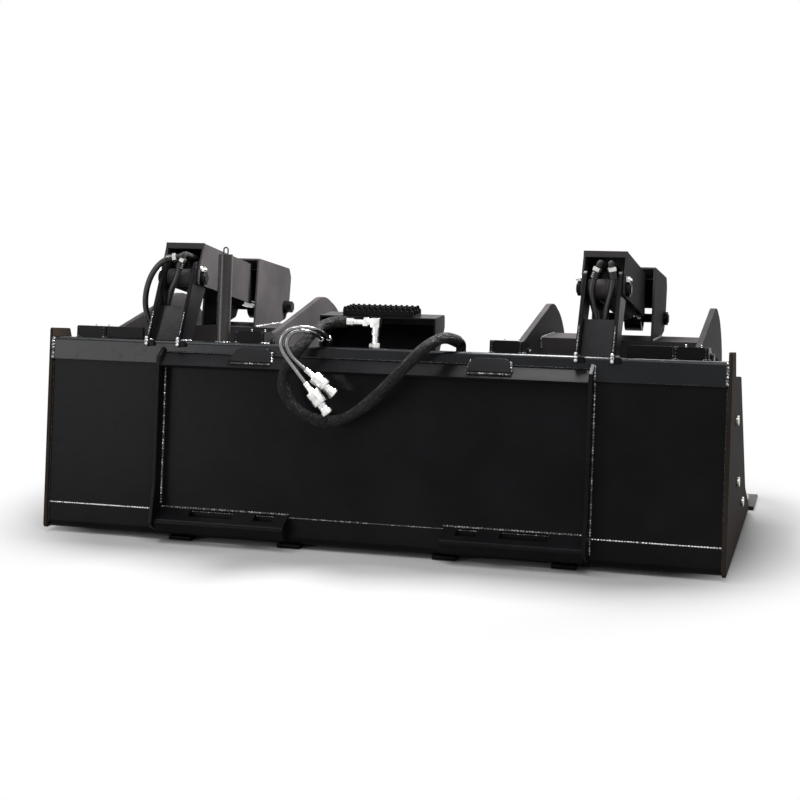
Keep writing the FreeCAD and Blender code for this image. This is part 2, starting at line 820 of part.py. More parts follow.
def build_cylinders():
    eye_half = size.tower_inside / 2 - 2
    bore = size.base_pin_radius + size.running_fit
    gland_back = size.barrel_length - 28
    for name, sign in SIDES:
        centre = sign * unit_centre
        shell = rod_between(size.barrel_radius, (0, 20, 0), (0, size.barrel_length, 0))
        shell = shell.fuse([
            rod_between(25, (-eye_half, 0, 0), (eye_half, 0, 0)),
            rod_between(11, (-8, 52, 20), (-8, 52, 44)),
            rod_between(10, (20, 350, 12), (20, 350, 40)),
            *[tube(line, size.hose_radius - 1) for line in HARD_LINES[name]],
        ])
        shell = shell.cut(rod_between(size.barrel_bore, (0, 38, 0), (0, size.barrel_length + 1, 0)))
        shell = shell.cut(rod_between(bore, (-60, 0, 0), (60, 0, 0)))
        made("barrel_" + name, shell.removeSplitter(), on_cylinder(centre))

        gland = rod_between(size.barrel_bore - 0.05, (0, gland_back, 0), (0, size.barrel_length, 0))
        mouth = (0, size.barrel_length, 0)
        gland = gland.fuse(rod_between(size.barrel_radius - 2, mouth, (0, size.barrel_length + 5, 0)))
        rod_hole = size.rod_radius + size.running_fit
        gland = gland.cut(rod_between(rod_hole, (0, gland_back - 1, 0), (0, size.barrel_length + 10, 0)))
        made("gland_" + name, gland.removeSplitter(), on_cylinder(centre))

        piston_back = gland_back - 105
        rod_at = (0, piston_back + 45, 0)
        eye_radius = size.rod_pin_radius + size.linkage_play + size.rod_eye_wall
        rod = rod_between(size.rod_radius, rod_at, (0, cylinder_length - eye_radius + 6, 0))
        eye = rod_between(eye_radius, (-24, cylinder_length, 0), (24, cylinder_length, 0))
        play = size.rod_pin_radius + size.linkage_play
        eye_hole = rod_between(play, (-40, cylinder_length, 0), (40, cylinder_length, 0))
        rod = rod.fuse(eye).cut(eye_hole)
        made("rod_" + name, rod.removeSplitter(), on_cylinder(centre))
        piston = rod_between(size.barrel_bore - size.running_fit, (0, piston_back, 0), rod_at)
        made("piston_" + name, piston, on_cylinder(centre))

        inner = size.tower_inside / 2 + size.tower_plate + size.guard_clearance
        label = "cylinder_guard_" + name
        body = doc.addObject("PartDesign::Body", label)
        pad(body, outline((
            (-26, -19, 8),
            (-26, 14, 12),
            (-3, size.guard_top, 2),
            (size.guard_length, size.guard_top, 3),
            (size.guard_length + 28, -19, 3),
        )), 2 * (inner + size.guard_plate))
        pocket(body, outline((
            (-80, -60),
            (-80, size.guard_top - size.guard_plate),
            (size.guard_length + 60, size.guard_top - size.guard_plate),
            (size.guard_length + 60, -60),
        )), 2 * inner)
        pad(body, outline((
            (-5, size.guard_top - 15),
            (-5, size.guard_top + 1),
            (2, size.guard_top + 1),
            (2, size.guard_top - 15),
        )), 2 * (inner + size.guard_plate) + 1)
        pocket(body, [circle(0, 0, bore)], 6 * inner)
        keep(body, label, on_cylinder(centre))


def build_step():
    rear = from_lean(size.rail_depth - 15, deck)
    front = from_lean(size.rail_depth, deck)
    toe = from_lean(size.rail_depth, deck - 46)
    top = front[1] + 84
    depth = rear[0] + 97
    side = outline((
        rear,
        (rear[0], top),
        (depth, top, 8),
        (depth, top - 34, 8),
        toe,
        front,
    ))
    half = size.step_width / 2
    wall = size.step_plate
    solid = prism(side, -half, half)
    solid = solid.cut(box(-half + wall, half - wall, rear[0] - 50, depth - wall, top - 300, top - wall))
    made("step_box", solid.removeSplitter(), place())

    tooth_count = 13
    tread_half = 96.0
    pitch = 2 * tread_half / tooth_count
    comb = [(tread_half, 0), (-tread_half, 0)]
    for index in range(tooth_count):
        left = -tread_half + index * pitch
        comb.append((left, 15))
        comb.append((left + 0.2 * pitch, 24))
        comb.append((left + 0.6 * pitch, 24))
        comb.append((left + 0.8 * pitch, 15))
    comb.append((tread_half, 15))
    face = Part.Face(Part.makePolygon([Vector(x, 0, z) for x, z in comb + comb[:1]]))
    tread_rear = rear[0] + 8
    bars = []
    for index in range(4):
        bar = face.extrude(Vector(0, 4, 0))
        bar.translate(Vector(0, tread_rear + index * 24, top))
        bars.append(bar)
    pan = box(-tread_half, tread_half, tread_rear, tread_rear + 76, top, top + 3)
    made("step_tread", pan.fuse(bars).removeSplitter(), place())

    height = size.post_height
    radius = size.post_radius
    post = rod_between(radius, (0, 35, deck), (0, 35, deck + height))
    post = post.cut(rod_between(radius - 4, (0, 35, deck - 1), (0, 35, deck + height - 5)))
    top = deck + height
    eye = tube(((-6, 35, top - 1), (-6, 35, top + 18), (6, 35, top + 18), (6, 35, top - 1)), 2)
    made("hose_post", post.fuse(eye).removeSplitter(), leaning(-size.post_centre))


def over_deck(*points):
    """Datum-frame places of points given from the upper rear corner of the rail."""
    return [(x, deck_rear[0] + forward, deck_rear[1] + height) for x, forward, height in points]


def on_deck(point):
    """The foot, on the rail's top, of the perpendicular from a point."""
    y, s = to_lean(point[1], point[2])
    return (point[0], *from_lean(y, deck))


def adapter(end, before, radius, reach):
    """Bent fitting from the rail's top to the end of a hose, in line with it."""
    corner = Vector(*end) + (Vector(*end) - Vector(*before)).normalize() * reach
    return tube((on_deck(corner), tuple(corner), end), radius)


def build_plumbing():
    arm_end = -76.0
    elbow_y = 30
    elbow_top = deck + 65
    elbow = tube(((-4, elbow_y, deck + 10), (-4, elbow_y, elbow_top), (arm_end + 14, elbow_y, elbow_top)), 7)
    elbow = elbow.fuse([
        hexagon(22, -4, elbow_y, deck, deck + 16),
        rod_between(11, (arm_end, elbow_y, elbow_top), (arm_end + 18, elbow_y, elbow_top)),
    ])
    made("hose_elbow", elbow.removeSplitter(), leaning())

    start = from_lean(elbow_y, elbow_top)
    sleeve = [
        (arm_end, *start),
        (-106, *start),
        *over_deck(
            (-134, 14.7, 54.1),
            (-154, -23.3, 35.1),
            (-170, -59.3, 5.1),
            (-191, -78.3, -24.9),
            (-207, -85.3, -58.9),
            (-210, -86.3, -96.9),
            (-198, -84.3, -128.9),
            (-171, -81.3, -158.9),
            (-132, -79.3, -178.9),
            (-88, -79.3, -184.9),
            (-44, -79.3, -172.9),
            (-4, -79.3, -147.9),
            (36, -81.3, -114.9),
            (74, -84.3, -76.9),
            (110, -84.3, -37.9),
            (142, -75.3, -3.9),
            (169, -57.3, 21.1),
            (191, -29.3, 35.1),
            (209, 2.7, 34.1),
            (222, 28.7, 21.1),
        ),
    ]
    cord("hose_sleeve", sleeve, size.sleeve_radius)

    supply_routes = {
        "a": (
            (-140, 16.7, 15.1),
            (-133, -8.3, 20.1),
            (-130, -36.3, 31.1),
            (-139, -65.3, 44.1),
            (-159, -84.3, 51.1),
            (-178, -94.3, 47.1),
            (-191, -99.3, 32.1),
            (-194, -100.3, 12.1),
            (-186, -100.3, -6.9),
            (-171, -97.3, -25.9),
            (-146, -93.3, -47.9),
        ),
        "b": (
            (-118, 16.7, 16.1),
            (-112, -9.3, 24.1),
            (-111, -38.3, 37.1),
            (-121, -68.3, 51.1),
            (-145, -96.3, 61.1),
            (-172, -114.3, 60.1),
            (-193, -122.3, 46.1),
            (-202, -124.3, 23.1),
            (-197, -123.3, -0.9),
            (-181, -122.3, -23.9),
            (-161, -121.3, -49.9),
            (-138, -121.3, -78.9),
        ),
    }
    adapters = [adapter(sleeve[-1], sleeve[-2], size.sleeve_radius - 2, 16)]
    for which, points in supply_routes.items():
        route = over_deck(*points)
        cord("supply_hose_" + which, route, size.supply_radius)
        adapters.append(adapter(route[0], route[1], size.supply_radius + 1.5, 12))
        build_coupler(which, Vector(*route[-2]), Vector(*route[-1]))
    made("deck_adapters", Part.makeCompound(adapters), place())


def build_coupler(which, before, end):
    """Flat-faced coupling that carries on in the line of its hose."""
    body = turned("coupler_" + which, (
        (0, 0),
        (0, 7.5),
        (28, 7.5),
        (28, 14),
        (30, 16),
        (66, 16),
        (68, 14),
        (68, 11),
        (88, 11),
        (88, 13),
        (98, 13),
        (100, 11),
        (100, 0),
    ), place())
    body.Placement = FreeCAD.Placement(
        Vector(end.x, end.y - middle, end.z + stand), FreeCAD.Rotation(ACROSS, end - before))


def build_cylinder_hoses():
    turn = math.radians(cylinder_angle)
    left = -unit_centre
    right = unit_centre
    block_top = deck - 20
    block_y = size.rail_depth + 18

    def along(centre, spot):
        """Datum-frame place of a spot given in the cylinder's frame."""
        x, y, z = spot
        forward = base_pin[0] + y * math.cos(turn) - z * math.sin(turn)
        height = base_pin[1] + y * math.sin(turn) + z * math.cos(turn)
        return (centre + x, forward, height)

    def hose(label, centre, line, reach, route, block_x):
        """Hose that leaves a steel line's end straight on and ends down on its block."""
        start = Vector(*along(centre, line[-1]))
        aim = (start - Vector(*along(centre, line[-2]))).normalize()
        cord(label, (
            tuple(start),
            tuple(start + aim * reach),
            *over_deck(*route),
            (block_x, *from_lean(block_y, block_top + 26)),
            (block_x, *from_lean(block_y, block_top)),
        ), size.hose_radius)

    hose("cylinder_hose_left_a", left, HARD_LINES["left"][0], 16, (
        (left - 48, 80.7, 197.1),
        (left - 69, 79.7, 171.1),
        (left - 84, 80.7, 139.1),
        (left - 92, 81.7, 103.1),
        (left - 92, 83.7, 71.1),
        (left - 83, 85.7, 43.1),
        (left - 73, 86.7, 19.1),
    ), left - 70)
    hose("cylinder_hose_left_b", left, HARD_LINES["left"][1], 18, (
        (left - 4, 92.7, 155.1),
        (left - 21, 92.7, 125.1),
        (left - 30, 94.7, 93.1),
        (left - 32, 94.7, 59.1),
        (left - 29, 92.7, 27.1),
    ), left - 27)
    hose("cylinder_hose_right_a", right, HARD_LINES["right"][0], 18, (
        (right - 28, 93.7, 155.1),
        (right - 23, 94.7, 123.1),
        (right - 14, 95.7, 91.1),
        (right - 11, 94.7, 59.1),
        (right - 12, 92.7, 27.1),
    ), right - 13)
    hose("cylinder_hose_right_b", right, HARD_LINES["right"][1], 18, (
        (right + 23, 93.7, 149.1),
        (right + 14, 94.7, 117.1),
        (right + 10, 95.7, 87.1),
        (right + 10, 94.7, 57.1),
        (right + 12, 92.7, 27.1),
    ), right + 13)

    near = size.rail_depth
    far = near + 36
    low = block_top - 34
    blocks = [
        box(left - 82, left - 15, near, far, low, block_top),
        box(right - 28, right + 28, near, far, low, block_top),
    ]
    made("hose_bulkheads", Part.makeCompound(blocks), leaning())

    wall = size.rail_depth - size.rail_plate
    lines = []
    for start_x, end_x, height in ((left - 70, right - 13, deck - 40), (left - 27, right + 13, deck - 25)):
        lines.append(tube((
            (start_x, wall - 0.2, height),
            (start_x, wall - 16, height),
            (end_x, wall - 16, height),
            (end_x, wall - 0.2, height),
        ), 5, 0.4))
    made("cross_lines", Part.makeCompound(lines), leaning())


def check_and_write():
    doc.recompute()
    for item in doc.Objects:
        if "Invalid" in item.State or "Error" in item.State:
            raise ValueError("%s has not been worked out: %s" % (item.Label, item.State))
    os.makedirs("parts", exist_ok=True)
    triangles = 0
    for item in sub_parts:
        shape = item.Shape
        if shape.isNull() or not shape.isValid() or not shape.Solids:
            raise ValueError(item.Label + " has no valid solid")
        shape.exportStep("parts/%s.step" % item.Label)
        triangles += len(shape.tessellate(0.5)[1])
    whole = Part.makeCompound([item.Shape for item in sub_parts]).BoundBox
    print("%d sub-parts, %d triangles" % (len(sub_parts), triangles))
    corners = (whole.XMin, whole.XMax, whole.YMin, whole.YMax, whole.ZMin, whole.ZMax)
    print("box X %.1f..%.1f Y %.1f..%.1f Z %.1f..%.1f" % corners)
    print("pivot", pivot, "base pin", base_pin, "rod pin", rod_pin)
    print("middle %.2f cylinder %.2f at %.3f degrees" % (middle, cylinder_length, cylinder_angle))


build_shell()
build_sides()
build_skids()
build_rail()
build_attach_frame()
build_towers()
build_hinges()
build_grapples()
build_cylinders()
build_step()
build_plumbing()
build_cylinder_hoses()
check_and_write()
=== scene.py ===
import json
import math

import bmesh
import bpy
from bpy.props import FloatProperty, FloatVectorProperty, IntProperty, PointerProperty
from bpy.types import Operator, Panel, PropertyGroup
from mathutils import Matrix, Vector


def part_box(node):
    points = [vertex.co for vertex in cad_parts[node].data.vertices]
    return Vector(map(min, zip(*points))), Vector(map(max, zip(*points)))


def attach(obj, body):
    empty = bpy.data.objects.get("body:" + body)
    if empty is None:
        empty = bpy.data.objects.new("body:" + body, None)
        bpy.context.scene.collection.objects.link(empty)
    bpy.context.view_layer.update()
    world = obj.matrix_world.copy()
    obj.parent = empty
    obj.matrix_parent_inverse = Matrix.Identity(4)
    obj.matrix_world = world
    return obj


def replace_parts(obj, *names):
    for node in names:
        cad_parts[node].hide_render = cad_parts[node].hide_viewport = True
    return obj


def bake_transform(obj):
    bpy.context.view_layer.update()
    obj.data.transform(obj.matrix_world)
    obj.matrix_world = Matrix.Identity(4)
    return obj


bl_info = {
    "name": "Grapple Bucket Finish",
    "version": (1, 0, 0),
    "blender": (4, 5, 0),
    "location": "3D View > Sidebar > Bucket",
    "description": "Paint, welds, hoses, fittings and studio for a skid-steer grapple bucket",
    "category": "Object",
}

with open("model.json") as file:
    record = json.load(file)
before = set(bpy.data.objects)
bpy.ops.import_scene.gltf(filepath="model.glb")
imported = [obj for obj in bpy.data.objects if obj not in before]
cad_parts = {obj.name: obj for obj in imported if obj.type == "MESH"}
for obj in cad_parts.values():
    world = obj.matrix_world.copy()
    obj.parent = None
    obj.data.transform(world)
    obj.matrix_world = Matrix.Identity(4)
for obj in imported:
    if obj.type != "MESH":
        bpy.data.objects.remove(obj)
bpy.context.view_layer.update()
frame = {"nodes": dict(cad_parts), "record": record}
BEHAVIOUR = frame["record"]["behaviour"]
BODY_OF = {node: body for body, nodes in BEHAVIOUR["bodies"].items() for node in nodes}
JOINTS = {joint["name"]: joint for joint in BEHAVIOUR["joints"]}
SIDES = (("left", -1), ("right", 1))

# The bucket's datum is the lower rear edge of its shell, in metres from the cutting edge's ends
EDGE_REACH = 0.980
EDGE_PLATE = 0.012
EDGE_LOW, EDGE_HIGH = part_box("cutting_edge")
DATUM = Vector((0, EDGE_HIGH.y - EDGE_REACH, EDGE_LOW.z + EDGE_PLATE))

# The back leans forward
LEAN = math.radians(7.2)
UP_BACK = Vector((0, math.sin(LEAN), math.cos(LEAN)))
OFF_BACK = Vector((0, -math.cos(LEAN), math.sin(LEAN)))
ACROSS = Vector((1, 0, 0))
UP = Vector((0, 0, 1))
PIVOT = Vector(JOINTS["grapple_left_hinge"]["pos_m"])
BASE_PIN = Vector(JOINTS["cylinder_left_hinge"]["pos_m"])
ROD_WAY = Vector(JOINTS["ram_left_slide"]["axis"])
ROD_NORMAL = ACROSS.cross(ROD_WAY)

# Millimetres from here on: each grapple's middle from the bucket's, its claws from its own middle,
# the rod's pin ahead of and above the claws' pivot, and the rod's eye behind its pin
UNIT = JOINTS["cylinder_right_hinge"]["pos_m"][0] * 1000
CLAW = sum(corner.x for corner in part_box("tine_outer_right")) * 500 - UNIT
ROD_PIN = (590, 40)
EYE_REACH = 36

# Heights up the back, and places across the bucket
DECK = 521
HEEL_SEAM = 71
RAIL_FOOT = 460
LIP_TOP = 491
SHELL_END = 903
FRAME_INSIDE = 571.5
FRAME_PLATE = 10
LEDGE_START = 208
GUSSET_MIDDLE = 319
CHEEK = 45
ELBOW = (2, 30)
ELBOW_TOP = 586
BULKHEAD_AHEAD = 86


def at(x, forward, height):
    """Place of a point given in millimetres from the datum."""
    return DATUM + Vector((x, forward, height)) / 1000


def leaning(x, y, s):
    """Place of a point in millimetres: y ahead of the back plate's rear face, s up along it."""
    return DATUM + (ACROSS * x - OFF_BACK * y + UP_BACK * s) / 1000


def on_arm(x, y, z):
    """Place of a point in millimetres ahead of and above the claws' pivot."""
    return Vector((x / 1000, PIVOT.y + y / 1000, PIVOT.z + z / 1000))


def on_cylinder(x, y, z):
    """Place of a point in millimetres: y along a cylinder from its base pin, z above it."""
    return Vector((x / 1000, BASE_PIN.y, BASE_PIN.z)) + (ROD_WAY * y + ROD_NORMAL * z) / 1000


class PaintSettings(PropertyGroup):
    coat: FloatVectorProperty(
        name="Coat", description="Colour of the powder coat", subtype="COLOR",
        default=(0.0038, 0.0038, 0.0044), min=0, max=1)
    coat_roughness: FloatProperty(
        name="Coat roughness", description="Middle roughness of the powder coat",
        default=0.30, min=0.05, max=1)
    edge_rounding: FloatProperty(
        name="Edge rounding", description="Radius that the coat gives to a plate's edges",
        default=0.0012, min=0.0002, max=0.003, unit="LENGTH")
    zinc: FloatVectorProperty(
        name="Zinc", description="Colour of the plated fasteners and fittings", subtype="COLOR",
        default=(0.66, 0.66, 0.63), min=0, max=1)


class WeldSettings(PropertyGroup):
    bead: FloatProperty(
        name="Bead", description="Radius of a fillet weld",
        default=0.0055, min=0.001, max=0.01, unit="LENGTH")
    ripple: FloatProperty(
        name="Ripple", description="Distance from one ripple of a weld to the next",
        default=0.0075, min=0.002, max=0.02, unit="LENGTH")


class HoseSettings(PropertyGroup):
    sleeve: FloatProperty(
        name="Sleeve", description="Diameter of the woven sleeve",
        default=0.030, min=0.01, max=0.06, unit="LENGTH")
    supply: FloatProperty(
        name="Supply hose", description="Diameter of a supply hose",
        default=0.010, min=0.005, max=0.03, unit="LENGTH")
    cylinder: FloatProperty(
        name="Cylinder hose", description="Diameter of a cylinder hose",
        default=0.016, min=0.005, max=0.03, unit="LENGTH")
    braid_strands: IntProperty(
        name="Strands", description="Strands of the braid around the sleeve", default=22, min=6, max=60)


class StudioSettings(PropertyGroup):
    key: FloatProperty(
        name="Key", description="Power of the lamp above the bucket", default=48, min=0, max=2000)
    side: FloatProperty(
        name="Side", description="Power of the soft box on the left", default=40, min=0, max=2000)
    sky: FloatProperty(
        name="Sky", description="Strength of the light from all around", default=0.4, min=0, max=2)
    floor: FloatVectorProperty(
        name="Floor", description="Colour of the floor", subtype="COLOR",
        default=(0.42, 0.42, 0.42), min=0, max=1)


class Value:
    """A number in a material's nodes, on which Python's arithmetic adds Math nodes."""

    def __init__(self, recipe, socket):
        self.recipe = recipe
        self.socket = socket

    def __add__(self, other):
        return self.recipe.maths("ADD", self, other)

    def __sub__(self, other):
        return self.recipe.maths("SUBTRACT", self, other)

    def __rsub__(self, other):
        return self.recipe.maths("SUBTRACT", other, self)

    def __mul__(self, other):
        return self.recipe.maths("MULTIPLY", self, other)

    def sine(self):
        return self.recipe.maths("SINE", self)

    def ramp(self, low, high, start=0.0, end=1.0):
        """Smooth step from start to end as the number goes from low to high."""
        made = self.recipe.node("ShaderNodeMapRange", {"interpolation_type": "SMOOTHSTEP"}, {
            "Value": self, "From Min": low, "From Max": high, "To Min": start, "To Max": end})
        return Value(self.recipe, made.outputs["Result"])


class Recipe:
    """One procedural material: its shader and the nodes that feed it."""

    def __init__(self, name, **fixed):
        self.material = bpy.data.materials.new(name)
        self.material.use_nodes = True
        self.tree = self.material.node_tree
        self.shader = self.tree.nodes["Principled BSDF"]
        self.place = self.node("ShaderNodeTexCoord").outputs["Object"]
        for socket, value in fixed.items():
            socket = socket.replace("_", " ").title().replace("Ior", "IOR")
            self.shader.inputs[socket].default_value = value

    def node(self, kind, settings=None, inputs=None):
        made = self.tree.nodes.new(kind)
        for name, value in (settings or {}).items():
            setattr(made, name, value)
        for name, value in (inputs or {}).items():
            self.feed(made.inputs[name], value)
        return made

    def feed(self, socket, value):
        if isinstance(value, Value):
            value = value.socket
        if isinstance(value, bpy.types.NodeSocket):
            self.tree.links.new(value, socket)
        elif socket.type == "RGBA" and len(value) == 3:
            socket.default_value = (*value, 1)
        else:
            socket.default_value = value

    def maths(self, operation, *values):
        made = self.node("ShaderNodeMath", {"operation": operation}, dict(enumerate(values)))
        return Value(self, made.outputs[0])

    def stretched(self, scale):
        """Object coordinates scaled along each axis."""
        made = self.node("ShaderNodeMapping", inputs={"Vector": self.place, "Scale": scale})
        return made.outputs[0]

    def noise(self, scale, detail=3.0, roughness=0.5, place=None):
        made = self.node("ShaderNodeTexNoise", inputs={
            "Vector": place or self.place, "Scale": scale, "Detail": detail, "Roughness": roughness})
        return Value(self, made.outputs[0])

    def mix(self, share, first, second):
        made = self.node("ShaderNodeMix", {"data_type": "RGBA"}, {0: share, 6: first, 7: second})
        return made.outputs[2]

    def bump(self, *layers):
        """Bump of several layers: each a height, its depth in metres and its strength."""
        normal = None
        for height, depth, strength in layers:
            inputs = {"Height": height, "Distance": depth, "Strength": strength}
            if normal:
                inputs["Normal"] = normal
            normal = self.node("ShaderNodeBump", inputs=inputs).outputs[0]
        self.feed(self.shader.inputs["Normal"], normal)

    def surface(self, **sockets):
        for name, value in sockets.items():
            self.feed(self.shader.inputs[name.replace("_", " ")], value)
        return self.material


def powder_coat(name, coat, roughness, specular=0.045, warm_reflection=0.0):
    """Satin black powder coat: orange peel, cloudy gloss and a few scuffs; its last argument adds a
    painted warm reflection, a brown lift of the lighter clouds.
    """
    mix = Recipe(name, specular_ior_level=specular)
    cloud = mix.noise(6.0, 4, 0.6)
    peel = mix.noise(620.0, 2, 0.5)
    wave = mix.noise(34.0, 2, 0.5)
    grime = mix.noise(46.0, 5, 0.62).ramp(0.52, 0.74)
    scuff = mix.noise(160.0, 4, 0.7, mix.stretched((1.0, 0.3, 1.0))).ramp(0.66, 0.76)
    # The clouds' lighter tone varies at random; the brown lift on it, and the share of it kept
    # everywhere, is a painted warm reflection.
    light = tuple(part * 1.7 + 0.001 + warm_reflection * lift for part, lift in zip(coat, (0.010, 0.007, 0.005)))
    base = mix.mix(cloud.ramp(0.3, 0.75, 0.15 * warm_reflection, 0.7), coat, light)
    base = mix.mix(scuff * 0.25, base, (0.05, 0.048, 0.046))
    mix.bump((wave, 0.0011, 0.22), (peel, 0.00012, 0.5))
    rough = (cloud - 0.5) * 0.14 + roughness + grime * 0.08
    return mix.surface(Base_Color=base, Roughness=rough)


def weld_bead(name, glint_colour, specular, start=0.45):
    """Fillet weld under the coat: glossy ripples, whose tops are coloured light grey as a painted
    highlight on the black coat.
    """
    mix = Recipe(name, specular_ior_level=specular)
    crest = mix.noise(150.0, 2, 0.5).ramp(start, start + 0.17)
    # Painted highlight: the ripples' tops take the light grey glint colour, while their hollows stay
    # near black.
    base = mix.mix(crest, tuple(part * 0.06 for part in glint_colour), glint_colour)
    mix.bump((mix.noise(300.0, 3, 0.6), 0.0003, 0.4))
    rough = crest.ramp(0.0, 1.0, 0.34, 0.16)
    return mix.surface(Base_Color=base, Roughness=rough, Metallic=crest * 0.8)


def bare_edge_steel(name, coat):
    """Cutting edge: the same coat, rubbed thin along its bevel."""
    mix = Recipe(name, specular_ior_level=0.2)
    rub = mix.noise(70.0, 5, 0.6, mix.stretched((0.25, 1.0, 1.0)))
    cloud = mix.noise(9.0, 3, 0.6)
    worn = rub.ramp(0.62, 0.72)
    base = mix.mix(worn * 0.5, coat, (0.14, 0.13, 0.12))
    mix.bump((rub, 0.0005, 0.25), (mix.noise(500.0, 2), 0.0001, 0.5))
    return mix.surface(Base_Color=base, Roughness=cloud * 0.2 + 0.26, Metallic=worn * 0.5)


def plated_steel(name, colour, roughness=0.30):
    """Zinc plated steel with faint blotches and tool marks."""
    mix = Recipe(name, metallic=1.0)
    blotch = mix.noise(90.0, 4, 0.6)
    fine = mix.noise(900.0, 2)
    dark = tuple(part * 0.72 for part in colour)
    base = mix.mix(blotch.ramp(0.35, 0.7), colour, dark)
    mix.bump((fine, 0.00006, 0.4), (blotch, 0.0004, 0.15))
    return mix.surface(Base_Color=base, Roughness=(blotch - 0.5) * 0.25 + roughness)


def chromed_rod(name, coat, eye):
    """Hard chrome of a ram, with fine rings from its polishing, and its eye under the coat; the chrome
    is coloured dark grey, far below real chrome, as painted shade under the guards.
    """
    mix = Recipe(name, specular_ior_level=0.1)
    along = Value(mix, mix.node("ShaderNodeSeparateXYZ", inputs={0: mix.place}).outputs["Y"])
    painted = along.ramp(eye - 0.001, eye + 0.001)
    rings = mix.noise(40.0, 3, 0.5, mix.stretched((30.0, 1.0, 30.0)))
    smear = mix.noise(25.0, 3, 0.6).ramp(0.4, 0.8, 0.06, 0.2)
    mix.bump((rings, 0.00002, 0.3))
    # Dark grey in place of bright chrome: painted shade.
    base = mix.mix(painted, (0.26, 0.265, 0.275), coat)
    return mix.surface(Base_Color=base, Metallic=1 - painted, Roughness=smear + painted * 0.3)


def hose_rubber(name, roughness, specular, index=1.5):
    """Wrapped rubber cover with a faint cloth impression."""
    mix = Recipe(name, specular_ior_level=specular, ior=index)
    wrap = mix.noise(900.0, 2, 0.5)
    scuff = mix.noise(60.0, 4, 0.6).ramp(0.5, 0.8)
    base = mix.mix(scuff * 0.5, (0.009, 0.009, 0.0095), (0.035, 0.033, 0.031))
    mix.bump((wrap, 0.0001, 0.6), (mix.noise(120.0, 2), 0.0004, 0.3))
    return mix.surface(Base_Color=base, Roughness=scuff * 0.25 + roughness)


def woven_sleeve(name, around, along):
    """Nylon braid, bunched in folds: flat strands that cross over and under each other, darker where
    the weave dips as painted shade, and lighter on the folds as a painted highlight.
    """
    mix = Recipe(name, specular_ior_level=0.15)
    parts = mix.node("ShaderNodeSeparateXYZ", inputs={0: mix.node("ShaderNodeTexCoord").outputs["UV"]})
    across, length = Value(mix, parts.outputs["Y"]), Value(mix, parts.outputs["X"])
    turn = 2 * math.pi
    one = (across * (around * turn / 2) + length * (along * turn / 2)).sine()
    other = (across * (around * turn / 2) - length * (along * turn / 2)).sine()
    over = one * other
    height = over.ramp(-0.9, 0.9)
    fray = mix.noise(700.0, 3)
    # Painted shade: the strands darken where the weave's height is low, with random fraying on top.
    base = mix.mix(height * 0.7 + fray * 0.3, (0.003, 0.003, 0.0032), (0.013, 0.012, 0.0115))
    bunched = mix.node("ShaderNodeCombineXYZ", inputs={
        0: length * 26, 1: (across * turn).sine() * 1.6}).outputs[0]
    folds = mix.noise(1.0, 4, 0.6, bunched).ramp(0.48, 0.66)
    # Painted highlight: the folds lighten to a brownish grey.
    base = mix.mix(folds * 0.8, base, (0.030, 0.028, 0.026))
    crumple = mix.noise(38.0, 3, 0.55) + folds * 0.5
    mix.bump((crumple, 0.013, 1.0), (height, 0.0010, 0.8), (fray, 0.0002, 0.5))
    return mix.surface(Base_Color=base, Roughness=height.ramp(0.0, 1.0, 0.66, 0.52))


MATERIALS = {}


def make_materials(settings):
    coat = tuple(settings.coat)
    rough = settings.coat_roughness
    MATERIALS.update({
        "coat": powder_coat("powder_coat", coat, rough),
        # Bluish copy of the coat for the top rail: its tint is a painted bluish sheen.
        "rail_sheen_coat": powder_coat("powder_coat_rail_sheen", (0.0035, 0.0040, 0.0050), rough - 0.06, 0.18),
        # Lighter, brownish copy of the coat for the hose post, also worn by the hose crimps: painted
        # sheen.
        "post_sheen_coat": powder_coat("powder_coat_post_sheen", (0.010, 0.009, 0.008), rough - 0.04, 0.35),
        # Much lighter, warm copy of the coat for the grapples: painted light on their lit faces and a
        # painted warm reflection.
        "lit_warm_coat": powder_coat("powder_coat_warm_lit", (0.025, 0.0238, 0.0252), rough + 0.20, 0.008, 1.0),
        # Slightly lighter copy of the coat for the tower webs: painted reflection.
        "web_sheen_coat": powder_coat("powder_coat_web_sheen", (0.006, 0.006, 0.007), rough - 0.08, 0.09),
        # Lighter, brown copy of the coat for the side plates: painted brownish reflection.
        "side_reflection_coat": powder_coat(
            "powder_coat_side_reflection", (0.0165, 0.0128, 0.0106), rough + 0.34, 0.018, 0.7),
        # Weld beads, each with a different strength of painted highlight on its crests.
        "bead": weld_bead("weld_bead", (0.36, 0.36, 0.37), 0.5),
        "bright_bead": weld_bead("weld_bead_bright_glint", (0.42, 0.42, 0.43), 0.5, 0.30),
        "fine_bead": weld_bead("weld_bead_faint_glint", (0.16, 0.16, 0.165), 0.4),
        "dull_bead": weld_bead("weld_bead_dim_glint", (0.03, 0.03, 0.032), 0.2),
        "edge": bare_edge_steel("cutting_edge_coat", coat),
        "zinc": plated_steel("zinc_plate", tuple(settings.zinc)),
        "steel": plated_steel("machined_steel", (0.5, 0.5, 0.5), 0.24),
        "silver": plated_steel("nickel_plate", (0.80, 0.80, 0.78), 0.22),
        "chrome": chromed_rod("chromed_rod", coat, PIVOT.y + (ROD_PIN[0] - EYE_REACH) / 1000),
        "rubber": hose_rubber("hose_rubber", 0.32, 0.4),
        "gloss_rubber": hose_rubber("hose_rubber_gloss", 0.11, 1.0, 2.0),
    })


